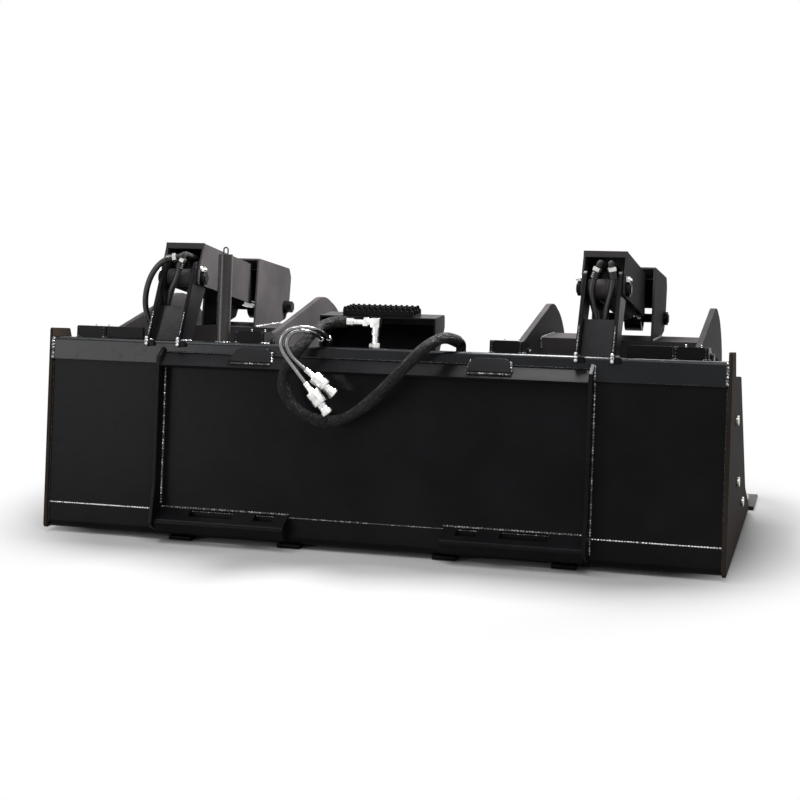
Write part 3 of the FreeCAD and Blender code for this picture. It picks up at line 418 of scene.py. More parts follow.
def level_normals(data, limit):
    """Shades each corner like the largest face beside it, so that flat plates stay flat."""
    shape = bmesh.new()
    shape.from_mesh(data)
    least = math.cos(limit)
    area = {face: face.calc_area() for face in shape.faces}
    normals = []
    for face in shape.faces:
        for corner in face.loops:
            total = Vector()
            for beside in corner.vert.link_faces:
                if beside.normal.dot(face.normal) > least:
                    total += beside.normal * area[beside]
            normals.append(total.normalized() if total.length else face.normal)
    shape.free()
    data.shade_smooth()
    data.set_sharp_from_angle(angle=limit)
    data.normals_split_custom_set(normals)


def finish_piece(name, shape, material, body, smooth=50):
    """Object of a bmesh, smooth up to an angle, riding on a body."""
    data = bpy.data.meshes.new(name)
    shape.to_mesh(data)
    shape.free()
    data.materials.append(MATERIALS[material])
    level_normals(data, math.radians(smooth))
    piece = bpy.data.objects.new(name, data)
    bpy.context.scene.collection.objects.link(piece)
    if body:
        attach(piece, body)
    return piece


def turn_to(aim):
    """Rotation that takes +Z to a direction."""
    return Vector(aim).to_track_quat("Z", "Y").to_matrix().to_4x4()


def add_turned(shape, profile, start, aim, steps=28):
    """Adds a turned solid: its profile is (along, radius) pairs in metres from start towards aim."""
    part = bmesh.new()
    points = [part.verts.new((radius, 0, along)) for along, radius in profile]
    edges = [part.edges.new(pair) for pair in zip(points, points[1:])]
    bmesh.ops.spin(
        part, geom=points + edges, cent=(0, 0, 0), axis=(0, 0, 1), angle=2 * math.pi, steps=steps,
        use_merge=True)
    bmesh.ops.remove_doubles(part, verts=part.verts, dist=1e-6)
    bmesh.ops.recalc_face_normals(part, faces=part.faces)
    add_part(shape, part, Matrix.Translation(start) @ turn_to(aim))


def add_part(shape, part, where):
    """Moves a small bmesh to its place and joins it to a piece."""
    part.transform(where)
    data = bpy.data.meshes.new("part")
    part.to_mesh(data)
    part.free()
    shape.from_mesh(data)
    bpy.data.meshes.remove(data)


def add_nut(shape, across, height, start, aim):
    """Adds a chamfered hexagon standing on start."""
    part = bmesh.new()
    radius = across / math.sqrt(3)
    bmesh.ops.create_cone(
        part, cap_ends=True, segments=6, radius1=radius, radius2=radius, depth=height,
        matrix=Matrix.Translation((0, 0, height / 2)))
    rims = [edge for edge in part.edges if abs(edge.verts[0].co.z - edge.verts[1].co.z) < 1e-6]
    bmesh.ops.bevel(
        part, geom=rims, offset=height * 0.12, offset_type="OFFSET", affect="EDGES", segments=2,
        profile=0.5, material=-1)
    add_part(shape, part, Matrix.Translation(start) @ turn_to(aim))


LEVEL = Matrix.Identity(3)
LEANING = Matrix((ACROSS, -OFF_BACK, UP_BACK)).transposed()


def add_block(shape, extent, middle, rounding, turn=LEANING):
    """Adds a plate with rounded edges, its extent in millimetres."""
    part = bmesh.new()
    bmesh.ops.create_cube(part, size=1)
    bmesh.ops.scale(part, vec=Vector(extent) / 1000, verts=part.verts)
    bmesh.ops.bevel(
        part, geom=part.edges[:], offset=rounding, offset_type="OFFSET", affect="EDGES", segments=2,
        profile=0.5, material=-1)
    add_part(shape, part, Matrix.Translation(middle) @ turn.to_4x4())


def softened(node, material, width):
    """Copy of a CAD piece with rounded edges, which stands for it."""
    shape = bmesh.new()
    shape.from_mesh(frame["nodes"][node].data)
    bmesh.ops.remove_doubles(shape, verts=shape.verts, dist=2e-5)
    bmesh.ops.dissolve_limit(
        shape, angle_limit=math.radians(1), verts=shape.verts, edges=shape.edges)
    folded = [edge for edge in shape.edges if len(edge.link_faces) == 2]
    sharp = [edge for edge in folded if edge.calc_face_angle() > math.radians(35)]
    bmesh.ops.bevel(
        shape, geom=sharp, offset=width, offset_type="OFFSET", affect="EDGES", segments=2,
        profile=0.5, clamp_overlap=True, material=-1)
    piece = finish_piece(node + "_finished", shape, material, BODY_OF[node])
    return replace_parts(piece, node)


def spline_of(name, points, radius, lumps=0.0):
    """Smooth NURBS bar along a route of places, its radius swelling by the share of its lumps."""
    data = bpy.data.curves.new(name, "CURVE")
    data.dimensions = "3D"
    spline = data.splines.new("NURBS")
    spline.points.add(len(points) - 1)
    for index, (point, place) in enumerate(zip(spline.points, points)):
        point.co = (*place, 1)
        point.radius = 1 + lumps * math.sin(index * 1.9)
    spline.order_u = 3
    spline.use_endpoint_u = True
    spline.resolution_u = 10
    data.bevel_depth = radius
    data.bevel_resolution = 6
    data.use_fill_caps = True
    piece = bpy.data.objects.new(name, data)
    bpy.context.scene.collection.objects.link(piece)
    bpy.context.view_layer.update()
    return piece


def line_of(curve):
    """Points along a curve's own line."""
    bare = curve.copy()
    bare.data = curve.data.copy()
    bare.data.bevel_depth = 0
    data = bpy.data.meshes.new_from_object(bare)
    points = [vertex.co.copy() for vertex in data.vertices]
    bpy.data.meshes.remove(data)
    bpy.data.curves.remove(bare.data)
    return points


def length_of(points):
    return sum((end - start).length for start, end in zip(points, points[1:]))


COATS = {
    "coat": (
        "back_plate", "floor_plate", "attach_lip", "attach_flange_left", "attach_flange_right",
        "ledge_left", "ledge_right", "ledge_gussets", "lip_gussets", "rail_bars", "tower_left",
        "tower_right", "hinge_forks_left", "hinge_forks_right", "step_box", "step_tread",
        "wear_skids", "rod_pin_left", "rod_pin_right", "base_pins", "pivot_pins", "deck_adapters"),
    "rail_sheen_coat": ("top_rail",),
    "post_sheen_coat": ("hose_post",),
    "web_sheen_coat": ("tower_webs",),
    "side_reflection_coat": ("side_plate_left", "side_plate_right"),
    "lit_warm_coat": tuple(
        stem + side for side, _ in SIDES
        for stem in ("tine_outer_", "tine_inner_", "cross_plate_", "arm_guard_", "cylinder_guard_",
                     "barrel_")),
}
PLATED = ("edge_bolts", "side_bolts", "hose_bulkheads")
PLAIN = {
    "zinc": ("cross_lines",),
    "chrome": ("rod_left", "rod_right"),
    "steel": ("piston_left", "piston_right", "gland_left", "gland_right"),
}


class BUCKET_OT_coat(Operator):
    """Coats the plates and plates the fasteners"""
    bl_idname = "bucket.coat"
    bl_label = "Coat the Steelwork"

    def execute(self, context):
        settings = context.scene.bucket_paint
        make_materials(settings)
        for material, nodes in COATS.items():
            for node in nodes:
                softened(node, material, settings.edge_rounding)
        softened("cutting_edge", "edge", settings.edge_rounding)
        for node in PLATED:
            softened(node, "zinc", settings.edge_rounding)
        for material, nodes in PLAIN.items():
            for node in nodes:
                for slot in frame["nodes"][node].material_slots:
                    slot.material = MATERIALS[material]
        return {"FINISHED"}


# Places in millimetres from the datum
SLEEVE_ROUTE = (
    (-134, 80, 571),
    (-154, 42, 552),
    (-170, 6, 522),
    (-191, -13, 492),
    (-207, -20, 458),
    (-210, -21, 420),
    (-198, -19, 388),
    (-171, -16, 358),
    (-132, -14, 338),
    (-88, -14, 332),
    (-44, -14, 344),
    (-4, -14, 369),
    (36, -16, 402),
    (74, -19, 440),
    (110, -19, 479),
    (142, -10, 513),
    (169, 8, 538),
    (191, 36, 552),
    (209, 68, 551),
    (222, 94, 538),
)
SUPPLY_ROUTES = {
    "a": (
        (-140, 82, 532),
        (-133, 57, 537),
        (-130, 29, 548),
        (-139, 0, 561),
        (-159, -19, 568),
        (-178, -29, 564),
        (-191, -34, 549),
        (-194, -35, 529),
        (-186, -35, 510),
        (-171, -32, 491),
        (-146, -28, 469),
    ),
    "b": (
        (-118, 82, 533),
        (-112, 56, 541),
        (-111, 27, 554),
        (-121, -3, 568),
        (-145, -31, 578),
        (-172, -49, 577),
        (-193, -57, 563),
        (-202, -59, 540),
        (-197, -58, 516),
        (-181, -55, 493),
        (-161, -53, 467),
        (-138, -53, 438),
    ),
}


class BUCKET_OT_sleeve(Operator):
    """Makes the woven sleeve that hangs behind the back plate"""
    bl_idname = "bucket.sleeve"
    bl_label = "Woven Sleeve"

    def execute(self, context):
        sizes = context.scene.bucket_hoses
        points = [leaning(x, ELBOW[1], ELBOW_TOP) for x in (-76, -106)]
        points += [at(*point) for point in SLEEVE_ROUTE]
        curve = spline_of("hose_sleeve_braid", points, sizes.sleeve / 2, 0.07)
        line = line_of(curve)
        length = length_of(line)
        rings = length / (math.pi * sizes.sleeve) * sizes.braid_strands
        curve.data.materials.append(woven_sleeve("woven_nylon", sizes.braid_strands, rings))
        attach(curve, "bucket")
        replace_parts(curve, "hose_sleeve")
        return {"FINISHED"}


# Millimetres along a coupler and out from its axis: crimp, body with its groove, sliding ring, nose
COUPLER_PROFILE = (
    (0, 0), (0, 6.4), (1, 7.4), (5, 7.5), (6, 7.0), (8, 7.0), (9, 7.5), (13, 7.5), (14, 7.0),
    (16, 7.0), (17, 7.5), (24, 7.5), (26, 9.5), (28, 9.5), (28, 16.4), (30, 18.4), (46, 18.4),
    (47, 17), (50, 17), (51, 18.4), (66, 18.4), (68, 16.4), (68, 12.4), (76, 12.4), (77, 11.4),
    (80, 11.4), (81, 12.4), (88, 12.4), (88, 15), (89, 15.8), (97, 15.8), (98, 15), (98, 8),
    (96.5, 8), (96.5, 0),
)


class BUCKET_OT_supply(Operator):
    """Makes the supply hoses and their flat-faced couplers"""
    bl_idname = "bucket.supply"
    bl_label = "Supply Hoses"

    def execute(self, context):
        sizes = context.scene.bucket_hoses
        for which, route in SUPPLY_ROUTES.items():
            points = [at(*point) for point in route]
            shape = bmesh.new()
            profile = [(along / 1000, radius / 1000) for along, radius in COUPLER_PROFILE]
            add_turned(shape, profile, points[-1], points[-1] - points[-2], 40)
            coupler = finish_piece("coupler_turned_" + which, shape, "silver", "bucket")
            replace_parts(coupler, "coupler_" + which)
            curve = spline_of("supply_hose_rubber_" + which, points, sizes.supply / 2)
            curve.data.materials.append(MATERIALS["gloss_rubber"])
            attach(curve, "bucket")
            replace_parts(curve, "supply_hose_" + which)
            length_of(line_of(curve))
        return {"FINISHED"}


# Each cylinder's steel lines, in its own millimetres: the place before a line's end, the end, and
# how far the hose runs straight on. Then the hoses' routes from there, from the tower's middle, and
# the ports in its bulkhead.
LINE_ENDS = {
    "left": (((14, -54, 52), (-10, -58, 46), 16), ((21, -50, 60), (12, -46, 38), 18)),
    "right": (((-6, -50, 60), (-14, -45, 38), 18), ((21, -50, 60), (25, -45, 38), 18)),
}
HOSE_ROUTES = {
    "left": (
        ((-48, 146, 714), (-69, 145, 688), (-84, 146, 656), (-92, 147, 620), (-92, 149, 588),
         (-83, 151, 560), (-73, 152, 536)),
        ((-4, 158, 672), (-21, 158, 642), (-30, 160, 610), (-32, 160, 576), (-29, 158, 544)),
    ),
    "right": (
        ((-28, 159, 672), (-23, 160, 640), (-14, 161, 608), (-11, 160, 576), (-12, 158, 544)),
        ((23, 159, 666), (14, 160, 634), (10, 161, 604), (10, 160, 574), (12, 158, 544)),
    ),
}
BLOCK_PORTS = {"left": (-70, -27), "right": (-13, 13)}


def end_of_line(side, index, centre):
    """Place where a cylinder's steel line ends, and its aim there."""
    before, end, _ = LINE_ENDS[side][index]
    start = on_cylinder(centre + end[0], end[1], end[2])
    return start, (start - on_cylinder(centre + before[0], before[1], before[2])).normalized()


class BUCKET_OT_cylinder_hoses(Operator):
    """Makes the hoses that bend between the bulkheads and the cylinders"""
    bl_idname = "bucket.cylinder_hoses"
    bl_label = "Cylinder Hoses"

    def execute(self, context):
        radius = context.scene.bucket_hoses.cylinder / 2
        for side, sign in SIDES:
            centre = sign * UNIT
            for index, which in enumerate("ab"):
                start, aim = end_of_line(side, index, centre)
                port = centre + BLOCK_PORTS[side][index]
                points = [start, start + aim * LINE_ENDS[side][index][2] / 1000]
                points += [at(centre + x, y, z) for x, y, z in HOSE_ROUTES[side][index]]
                points += [leaning(port, BULKHEAD_AHEAD, height) for height in (527, 501)]
                curve = spline_of("hose_line", points, radius)
                data = bpy.data.meshes.new_from_object(curve)
                bpy.data.objects.remove(curve)
                data.materials.clear()
                data.materials.append(MATERIALS["rubber"])
                data.shade_smooth()
                hose = bpy.data.objects.new("cylinder_hose_rubber_%s_%s" % (side, which), data)
                bpy.context.scene.collection.objects.link(hose)
                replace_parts(hose, "cylinder_hose_%s_%s" % (side, which))
                leaning(centre, BULKHEAD_AHEAD, 530)
                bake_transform(hose)
        return {"FINISHED"}


def add_hose_end(nuts, crimps, start, aim, radius):
    """Adds a nut, and a crimped ferrule that a hose leaves along an aim."""
    add_nut(nuts, radius * 2.5, radius * 1.3, start - aim * radius * 1.3, aim)
    ridge, groove = radius * 1.30, radius * 1.20
    crimp = [(0, 0), (0, radius * 1.25)]
    for low in (0.0022, 0.0074, 0.0126):
        crimp += [(low, ridge), (low + 0.0008, groove), (low + 0.0022, groove), (low + 0.003, ridge)]
    crimp += [(0.0184, ridge), (0.0196, radius * 1.06), (0.0196, 0)]
    add_turned(crimps, crimp, start, aim, 24)


def add_nipple(shape, start, aim):
    """Adds a grease nipple."""
    add_nut(shape, 0.008, 0.004, start, aim)
    profile = (
        (0, 0), (0, 2.8), (3, 2.4), (4.5, 1.6), (6, 1.8), (7.2, 2.4), (8.6, 1.9), (9.2, 0.8),
        (9.2, 0))
    profile = [(along / 1000, radius / 1000) for along, radius in profile]
    add_turned(shape, profile, start + aim * 0.004, aim, 12)


def add_bolt(shape, across, start, aim):
    """Adds a washer and a hexagon head, with the bolt's own end standing out of it."""
    washer, head = 0.0022, across * 0.55
    add_turned(shape, [
        (0, 0), (0, across * 0.62), (0.0014, across * 0.66), (washer, across * 0.62), (washer, 0)],
        start, aim, 24)
    add_nut(shape, across, head, start + aim * washer, aim)
    add_turned(shape, [
        (0, 0), (0, across * 0.27), (0.004, across * 0.27), (0.005, across * 0.22), (0.005, 0)],
        start + aim * (washer + head), aim, 16)


class BUCKET_OT_fittings(Operator):
    """Adds hose ends, retaining bolts, grease nipples and the small plates"""
    bl_idname = "bucket.fittings"
    bl_label = "Fittings"

    def execute(self, context):
        sizes = context.scene.bucket_hoses
        fixed, fixed_crimps = bmesh.new(), bmesh.new()
        for side, sign in SIDES:
            centre = sign * UNIT
            self.fit_cylinder(side, centre, sizes.cylinder / 2, fixed, fixed_crimps)
            self.fit_grapple(side, sign, centre)
        self.close_step()
        for route in SUPPLY_ROUTES.values():
            start, ahead = at(*route[0]), at(*route[1])
            add_hose_end(fixed, fixed, start, (ahead - start).normalized(), sizes.supply / 2)
        finish_piece("deck_fittings", fixed, "silver", "bucket", 30)
        finish_piece("deck_hose_crimps", fixed_crimps, "post_sheen_coat", "bucket", smooth=30)
        self.weld_tabs()
        self.forge_elbow()
        return {"FINISHED"}

    def fit_cylinder(self, side, centre, radius, fixed, fixed_crimps):
        """Hose ends at a cylinder and at its bulkhead, and the bolts that hold its base pin."""
        moving, crimps = bmesh.new(), bmesh.new()
        for index, port in enumerate(BLOCK_PORTS[side]):
            start, aim = end_of_line(side, index, centre)
            add_hose_end(moving, crimps, start, aim, radius)
            port = leaning(centre + port, BULKHEAD_AHEAD, 508)
            add_hose_end(fixed, fixed_crimps, port, UP_BACK, radius)
        for out in (-1, 1):
            add_bolt(moving, 0.015, on_cylinder(centre + out * 56, -9, 23), ACROSS * out)
        body = BODY_OF["barrel_" + side]
        finish_piece("cylinder_fittings_" + side, moving, "zinc", body, 30)
        finish_piece("cylinder_hose_crimps_" + side, crimps, "post_sheen_coat", body, smooth=30)

    def fit_grapple(self, side, sign, centre):
        """Rod pin's nut, grease nipples on the hubs and the plate that closes the guard's front."""
        body = BODY_OF["arm_guard_" + side]
        nut, grease, front = bmesh.new(), bmesh.new(), bmesh.new()
        add_nut(nut, 0.030, 0.016, on_arm(centre - sign * 96, *ROD_PIN), ACROSS * -sign)
        finish_piece("rod_pin_nut_" + side, nut, "coat", body, smooth=30)
        for claw in (-CLAW, CLAW):
            for face in (-19, 19):
                add_nipple(grease, on_arm(centre + claw + face, 0, 29.5), UP)
        finish_piece("grease_nipples_" + side, grease, "silver", body, 30)
        add_block(front, (157, 6, 84), on_arm(centre, 633, 106), 0.001, LEVEL)
        finish_piece("arm_guard_front_" + side, front, "lit_warm_coat", body)

    def close_step(self):
        """Sloping plate that closes the front of the step box."""
        front = bmesh.new()
        top, foot = at(0, 211, 562), at(0, 131, 470)
        rise = (top - foot).normalized()
        turn = Matrix((ACROSS, rise.cross(ACROSS), rise)).transposed()
        extent = (303, 5, (top - foot).length * 1000)
        add_block(front, extent, (top + foot) / 2, 0.001, turn)
        finish_piece("step_front", front, "coat", "bucket")

    def weld_tabs(self):
        """Tabs at the feet of the towers' cheeks."""
        tabs = bmesh.new()
        for centre in (-UNIT, UNIT):
            for cheek in (-CHEEK, CHEEK):
                add_block(tabs, (16, 8, 16), leaning(centre + cheek + 14, -10, 513), 0.002)
        finish_piece("tower_foot_tabs", tabs, "coat", "bucket")

    def forge_elbow(self):
        """Forged elbow with a swivel nut, from the rail's top to the sleeve."""
        shape = bmesh.new()
        foot = leaning(*ELBOW, DECK)
        corner = leaning(*ELBOW, ELBOW_TOP)
        add_nut(shape, 0.028, 0.013, foot, UP_BACK)
        stem = (
            (0.013, 0), (0.013, 0.0105), (0.030, 0.0095), (0.034, 0.0115), (0.054, 0.0115),
            (0.054, 0))
        neck = ((0.012, 0), (0.012, 0.0095), (0.020, 0.0095), (0.020, 0))
        ferrule = (
            (0.033, 0), (0.033, 0.0085), (0.058, 0.0085), (0.059, 0.0115), (0.079, 0.0115),
            (0.080, 0))
        add_turned(shape, stem, foot, UP_BACK)
        add_block(shape, (26, 24, 27), corner, 0.004)
        add_turned(shape, neck, corner, -ACROSS)
        add_nut(shape, 0.024, 0.014, corner - ACROSS * 0.019, -ACROSS)
        add_turned(shape, ferrule, corner, -ACROSS)
        forged = finish_piece("hose_elbow_forged", shape, "silver", "bucket", 30)
        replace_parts(forged, "hose_elbow")


class Seam:
    """Stretch of weld from one place to another, facing a direction."""

    def __init__(self, start, end, facing, size=1.0, bead="bead"):
        self.start = start
        self.end = end
        self.facing = facing
        self.size = size
        self.bead = bead


def ring_of_seams(centre, axis, radius, size, steps=12):
    """Short seams around a round piece that stands on a plate."""
    aside = axis.orthogonal().normalized()
    turn = Matrix.Rotation(2 * math.pi / steps, 3, axis)
    seams = []
    for _ in range(steps):
        ahead = turn @ aside
        seams.append(Seam(centre + aside * radius, centre + ahead * radius, aside + ahead + axis, size))
        aside = ahead
    return seams


def seam_up(x, y, low, high, facing, size=1.0, bead="bead"):
    """Seam up the back, at a place across it and ahead of its rear face."""
    return Seam(leaning(x, y, low), leaning(x, y, high), facing, size, bead)


def seam_across(start, end, y, height, facing, size=1.0, bead="bead"):
    """Seam across the back, at a place ahead of its rear face and up along it."""
    return Seam(leaning(start, y, height), leaning(end, y, height), facing, size, bead)


def seam_ahead(x, start, end, facing, size):
    """Seam on the rail's deck, running forward."""
    return Seam(leaning(x, start, DECK + 1), leaning(x, end, DECK + 1), facing, size)


def frame_seams(sign):
    """Welds of one half of the shell and the quick-attach frame."""
    out = ACROSS * sign
    inner, outer = OFF_BACK - out, OFF_BACK + out
    upward, downward = OFF_BACK + UP_BACK, OFF_BACK - UP_BACK
    end = sign * SHELL_END
    inside = sign * FRAME_INSIDE
    outside = sign * (FRAME_INSIDE + FRAME_PLATE)
    gusset = sign * GUSSET_MIDDLE
    return [
        seam_up(end, -1, 14, RAIL_FOOT - 5, inner, 0.5, "dull_bead"),
        # The outer heel seams take the brightest bead, a painted highlight for the bright line along
        # the heel's bend.
        seam_across(end, outside + sign * 2, 0, HEEL_SEAM, upward, 0.5, "bright_bead"),
        seam_up(end, -7, RAIL_FOOT + 2, 518, inner),
        seam_up(inside, -1, 86, RAIL_FOOT - 2, inner, 0.8),
        seam_up(outside, -1, 30, RAIL_FOOT - 2, outer, 0.8),
        seam_up(outside, -7, RAIL_FOOT + 2, 500, outer, 0.8),
        seam_across(sign * LEDGE_START, inside, -1, 79, upward, 0.7, "fine_bead"),
        seam_across(gusset - 56, gusset + 56, -27, 468, downward),
        seam_across(gusset - 40, gusset + 40, -8, 505, upward, 0.6),
        Seam(leaning(gusset + 57, -25, 472), leaning(gusset + 52, -9, 500), OFF_BACK + ACROSS, 0.9),
        Seam(leaning(gusset - 57, -25, 472), leaning(gusset - 52, -9, 500), OFF_BACK - ACROSS, 0.9),
    ]


def deck_seams(unit):
    """Welds of one tower and its two forks to the rail, and a bead up each cheek's rear edge that is
    only a painted highlight.
    """
    seams = []
    for side in (-1, 1):
        cheek = unit + side * CHEEK
        seams += [
            # A bright bead at the cheek's foot, a weld with a painted highlight, and a fainter bead up
            # its rear edge, which is only a painted highlight of that edge.
            Seam(leaning(cheek, -16, 506), leaning(cheek, -15, 530), OFF_BACK, 1.0, "bright_bead"),
            Seam(at(cheek, 61, 530), at(cheek, 97, 591), OFF_BACK, 0.4, "fine_bead"),
            seam_ahead(cheek + 5, -4, 66, UP_BACK + ACROSS, 0.7),
            seam_ahead(cheek - 5, -4, 66, UP_BACK - ACROSS, 0.7),
        ]
        for ear in (-37, 37):
            x = unit + side * CLAW + ear
            seams += [
                seam_up(x, 29.5, 523, 549, OFF_BACK, 0.5, "dull_bead"),
                seam_across(x - 5, x + 5, 28, 523, OFF_BACK + UP_BACK, 0.7, "fine_bead"),
                seam_ahead(x + 6, 30, 66, UP_BACK + ACROSS, 0.7),
                seam_ahead(x - 6, 30, 66, UP_BACK - ACROSS, 0.7),
            ]
    return seams


def shell_seams():
    """Welds of the shell, the quick-attach frame and what stands on the rail."""
    upward = OFF_BACK + UP_BACK
    seams = [
        seam_across(-SHELL_END, SHELL_END, -5, RAIL_FOOT, OFF_BACK - UP_BACK, 0.3, "dull_bead"),
        seam_across(-FRAME_INSIDE, FRAME_INSIDE, 0, HEEL_SEAM, upward, 0.5, "fine_bead"),
        seam_across(-FRAME_INSIDE, FRAME_INSIDE, -7, LIP_TOP, upward, 0.5, "dull_bead"),
        *ring_of_seams(leaning(-425, 35, DECK), UP_BACK, 0.0205, 0.6),
    ]
    for sign in (-1, 1):
        seams += frame_seams(sign) + deck_seams(sign * UNIT)
    return seams


def grapple_seams(centre):
    """Welds of one grapple about its claws' pivot."""
    seams = []
    for side in (-1, 1):
        guard = centre + side * 86
        claw = centre + side * (CLAW - 8)
        out = ACROSS * side
        seams += [
            Seam(on_arm(guard, 346, 6), on_arm(guard, 535, -4), UP + out, 0.8),
            Seam(on_arm(claw, 345, 4), on_arm(claw, 536, -5), UP - out, 0.8),
            Seam(on_arm(claw, 342, -55), on_arm(claw, 342, 2), Vector((0, -1, 0)) - out, 0.8),
        ]
        for face in (-1, 1):
            hub = on_arm(centre + side * CLAW + face * 8, 0, 0)
            seams += ring_of_seams(hub, ACROSS * face, 0.0305, 0.6, 18)
    return seams


class BUCKET_OT_welds(Operator):
    """Lays the fillet welds"""
    bl_idname = "bucket.welds"
    bl_label = "Welds"

    def execute(self, context):
        settings = context.scene.bucket_welds
        ripple = bmesh.new()
        bmesh.ops.create_uvsphere(ripple, u_segments=8, v_segments=5, radius=1)
        template = bpy.data.meshes.new("ripple")
        ripple.to_mesh(template)
        ripple.free()
        groups = {"shell_welds": ("bucket", shell_seams())}
        for side, sign in SIDES:
            body = BODY_OF["tine_outer_" + side]
            groups["grapple_welds_" + side] = (body, grapple_seams(sign * UNIT))
        for name, (body, seams) in groups.items():
            for bead in sorted({seam.bead for seam in seams}):
                alike = [seam for seam in seams if seam.bead == bead]
                self.lay(name + "_" + bead, body, alike, template, settings)
        bpy.data.meshes.remove(template)
        return {"FINISHED"}

    def lay(self, name, body, seams, template, settings):
        """Lays a row of flat ripples along each seam, as one piece."""
        shape = bmesh.new()
        for seam in seams:
            run = seam.end - seam.start
            count = max(1, round(run.length / settings.ripple))
            side = run.normalized()
            facing = (seam.facing - side * seam.facing.dot(side)).normalized()
            turn = Matrix((side, facing.cross(side), facing)).transposed().to_4x4()
            radius = settings.bead * seam.size
            reach = max(radius, 0.62 * settings.ripple)
            for index in range(count):
                start = len(shape.verts)
                shape.from_mesh(template)
                shape.verts.ensure_lookup_table()
                wave = 1 + 0.10 * math.sin(index * 2.1) + 0.06 * math.sin(index * 0.37)
                where = Matrix.Translation(seam.start + run * ((index + 0.5) / count)) @ turn
                scale = Matrix.Diagonal((reach, radius * wave, radius * 0.62 * wave, 1))
                bmesh.ops.transform(shape, matrix=where @ scale, verts=shape.verts[start:])
        finish_piece(name, shape, seams[0].bead, body, smooth=60)


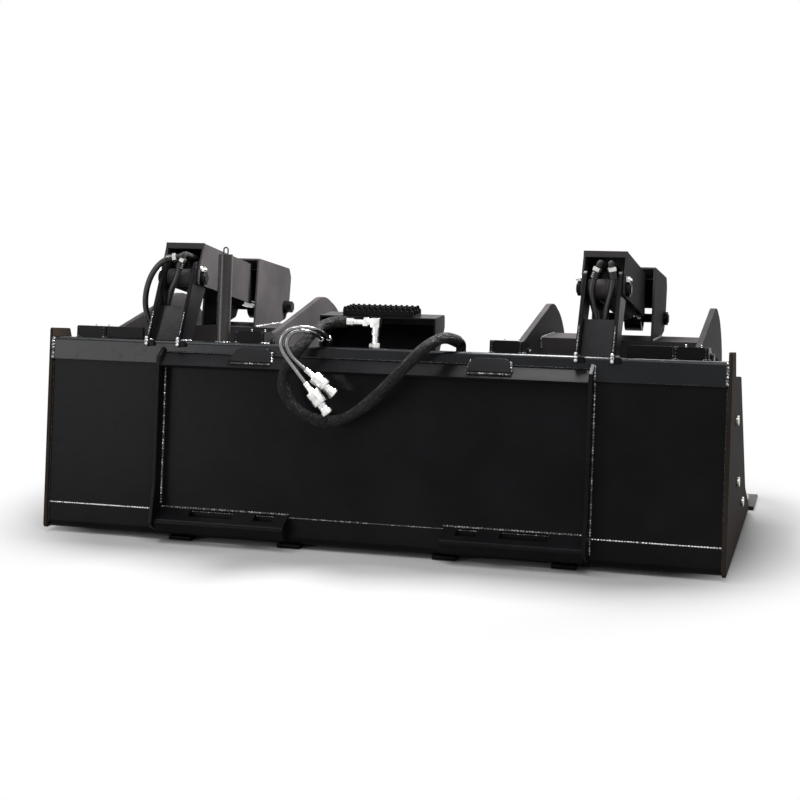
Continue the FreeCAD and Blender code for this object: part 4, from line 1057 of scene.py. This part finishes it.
class BUCKET_OT_studio(Operator):
    """Places the floor, the lamps and the camera"""
    bl_idname = "bucket.studio"
    bl_label = "Studio"

    def execute(self, context):
        settings = context.scene.bucket_studio
        self.lay_floor(settings)
        self.hang_lamps(settings)
        self.light_world(context.scene, settings.sky)
        self.place_camera(context.scene)
        context.scene.view_settings.view_transform = "Standard"
        return {"FINISHED"}

    def lay_floor(self, settings):
        """Floor that keeps the bucket's shadow and turns white around it."""
        shape = bmesh.new()
        bmesh.ops.create_grid(shape, x_segments=1, y_segments=1, size=30)
        data = bpy.data.meshes.new("studio_floor")
        shape.to_mesh(data)
        shape.free()
        mix = Recipe("studio_floor")
        mix.surface(Base_Color=tuple(settings.floor), Roughness=0.9)
        oval = mix.stretched((0.9, 0.95, 1))
        far = mix.node("ShaderNodeVectorMath", {"operation": "LENGTH"}, {0: oval}).outputs["Value"]
        fade = Value(mix, far).ramp(0.80, 1.15)
        seen = mix.node("ShaderNodeLightPath").outputs
        rays = mix.maths("MAXIMUM", seen["Is Camera Ray"], seen["Is Glossy Ray"])
        rays = mix.maths("MAXIMUM", rays, seen["Is Transmission Ray"])
        white = mix.node("ShaderNodeEmission", inputs={"Color": (1, 1, 1, 1), "Strength": 1.0})
        blend = mix.node("ShaderNodeMixShader", inputs={
            0: fade * rays, 1: mix.shader.outputs[0], 2: white.outputs[0]})
        mix.tree.links.new(blend.outputs[0], mix.tree.nodes["Material Output"].inputs["Surface"])
        data.materials.append(mix.material)
        floor = bpy.data.objects.new("studio_floor", data)
        bpy.context.scene.collection.objects.link(floor)

    def hang_lamps(self, settings):
        """Lamps, each with its place, target, width and height in metres, and power."""
        lamps = (
            ("key", (0.3, 1.9, 3.1), (0, 0, 0.2), (1.5, 1.5), settings.key),
            ("strip", (-0.6, -1.2, 3.3), (-0.1, 0, 0.4), (3.4, 0.35), settings.key * 0.8),
            ("tower", (-1.82, -1.3, 2.93), (-0.58, 0, 0.58), (0.7, 0.7), settings.key * 0.35),
            ("front", (0.9, -1.9, 2.2), (-0.4, 0, 0.5), (0.9, 0.9), settings.key * 0.4),
            ("grapple", (0.25, 0.1, 1.65), (-0.6, 0.1, 0.62), (0.6, 0.6), settings.key * 1.75),
            ("side", (-2.6, -3.6, 0.95), (-0.5, -0.4, 0.4), (1.6, 1.6), settings.side),
        )
        for name, place, target, size, power in lamps:
            data = bpy.data.lights.new(name + "_lamp", "AREA")
            data.energy = power
            data.shape = "RECTANGLE"
            data.size, data.size_y = size
            lamp = bpy.data.objects.new(name + "_lamp", data)
            bpy.context.scene.collection.objects.link(lamp)
            lamp.location = place
            lamp.rotation_euler = (Vector(target) - Vector(place)).to_track_quat("-Z", "Y").to_euler()

    def light_world(self, scene, sky):
        """World that looks white and lights the scene with the sky's strength."""
        world = scene.world or bpy.data.worlds.new("studio")
        scene.world = world
        world.use_nodes = True
        tree = world.node_tree
        background = tree.nodes["Background"]
        path = tree.nodes.new("ShaderNodeLightPath")
        seen = path.outputs["Is Camera Ray"]
        for other in ("Is Glossy Ray", "Is Transmission Ray"):
            either = tree.nodes.new("ShaderNodeMath")
            either.operation = "MAXIMUM"
            tree.links.new(seen, either.inputs[0])
            tree.links.new(path.outputs[other], either.inputs[1])
            seen = either.outputs[0]
        level = tree.nodes.new("ShaderNodeMapRange")
        level.inputs["To Min"].default_value = sky
        level.inputs["To Max"].default_value = 1.0
        tree.links.new(seen, level.inputs["Value"])
        tree.links.new(level.outputs["Result"], background.inputs["Strength"])
        background.inputs["Color"].default_value = (1, 1, 1, 1)

    def place_camera(self, scene):
        """Camera as it was solved from the photo's straight edges."""
        data = bpy.data.cameras.new("camera")
        data.sensor_width = 36
        data.lens = 71.5
        data.shift_y = -0.0975
        camera = bpy.data.objects.new("camera", data)
        scene.collection.objects.link(camera)
        camera.location = at(1211, -3800, 1048)
        camera.rotation_euler = (math.radians(90 - 6.53), 0, math.radians(16.34))
        scene.camera = camera


class BUCKET_PT_sidebar(Panel):
    """Lists the steps of the finish"""
    bl_label = "Grapple Bucket"
    bl_idname = "BUCKET_PT_sidebar"
    bl_space_type = "VIEW_3D"
    bl_region_type = "UI"
    bl_category = "Bucket"

    def draw(self, context):
        for settings in ("bucket_paint", "bucket_welds", "bucket_hoses", "bucket_studio"):
            box = self.layout.box()
            group = getattr(context.scene, settings)
            for name in group.__annotations__:
                box.prop(group, name)
        for step in STEPS:
            self.layout.operator(step.bl_idname)


SETTINGS = {
    "bucket_paint": PaintSettings,
    "bucket_welds": WeldSettings,
    "bucket_hoses": HoseSettings,
    "bucket_studio": StudioSettings,
}
STEPS = (
    BUCKET_OT_studio,
    BUCKET_OT_coat,
    BUCKET_OT_sleeve,
    BUCKET_OT_supply,
    BUCKET_OT_cylinder_hoses,
    BUCKET_OT_fittings,
    BUCKET_OT_welds,
)


def register():
    for kind in (*SETTINGS.values(), *STEPS, BUCKET_PT_sidebar):
        bpy.utils.register_class(kind)
    for name, kind in SETTINGS.items():
        setattr(bpy.types.Scene, name, PointerProperty(type=kind))


def unregister():
    for name in SETTINGS:
        delattr(bpy.types.Scene, name)
    for kind in reversed((*SETTINGS.values(), *STEPS, BUCKET_PT_sidebar)):
        bpy.utils.unregister_class(kind)


def main():
    register()
    for step in STEPS:
        area, name = step.bl_idname.split(".")
        getattr(getattr(bpy.ops, area), name)()


if __name__ == "__main__":
    main()
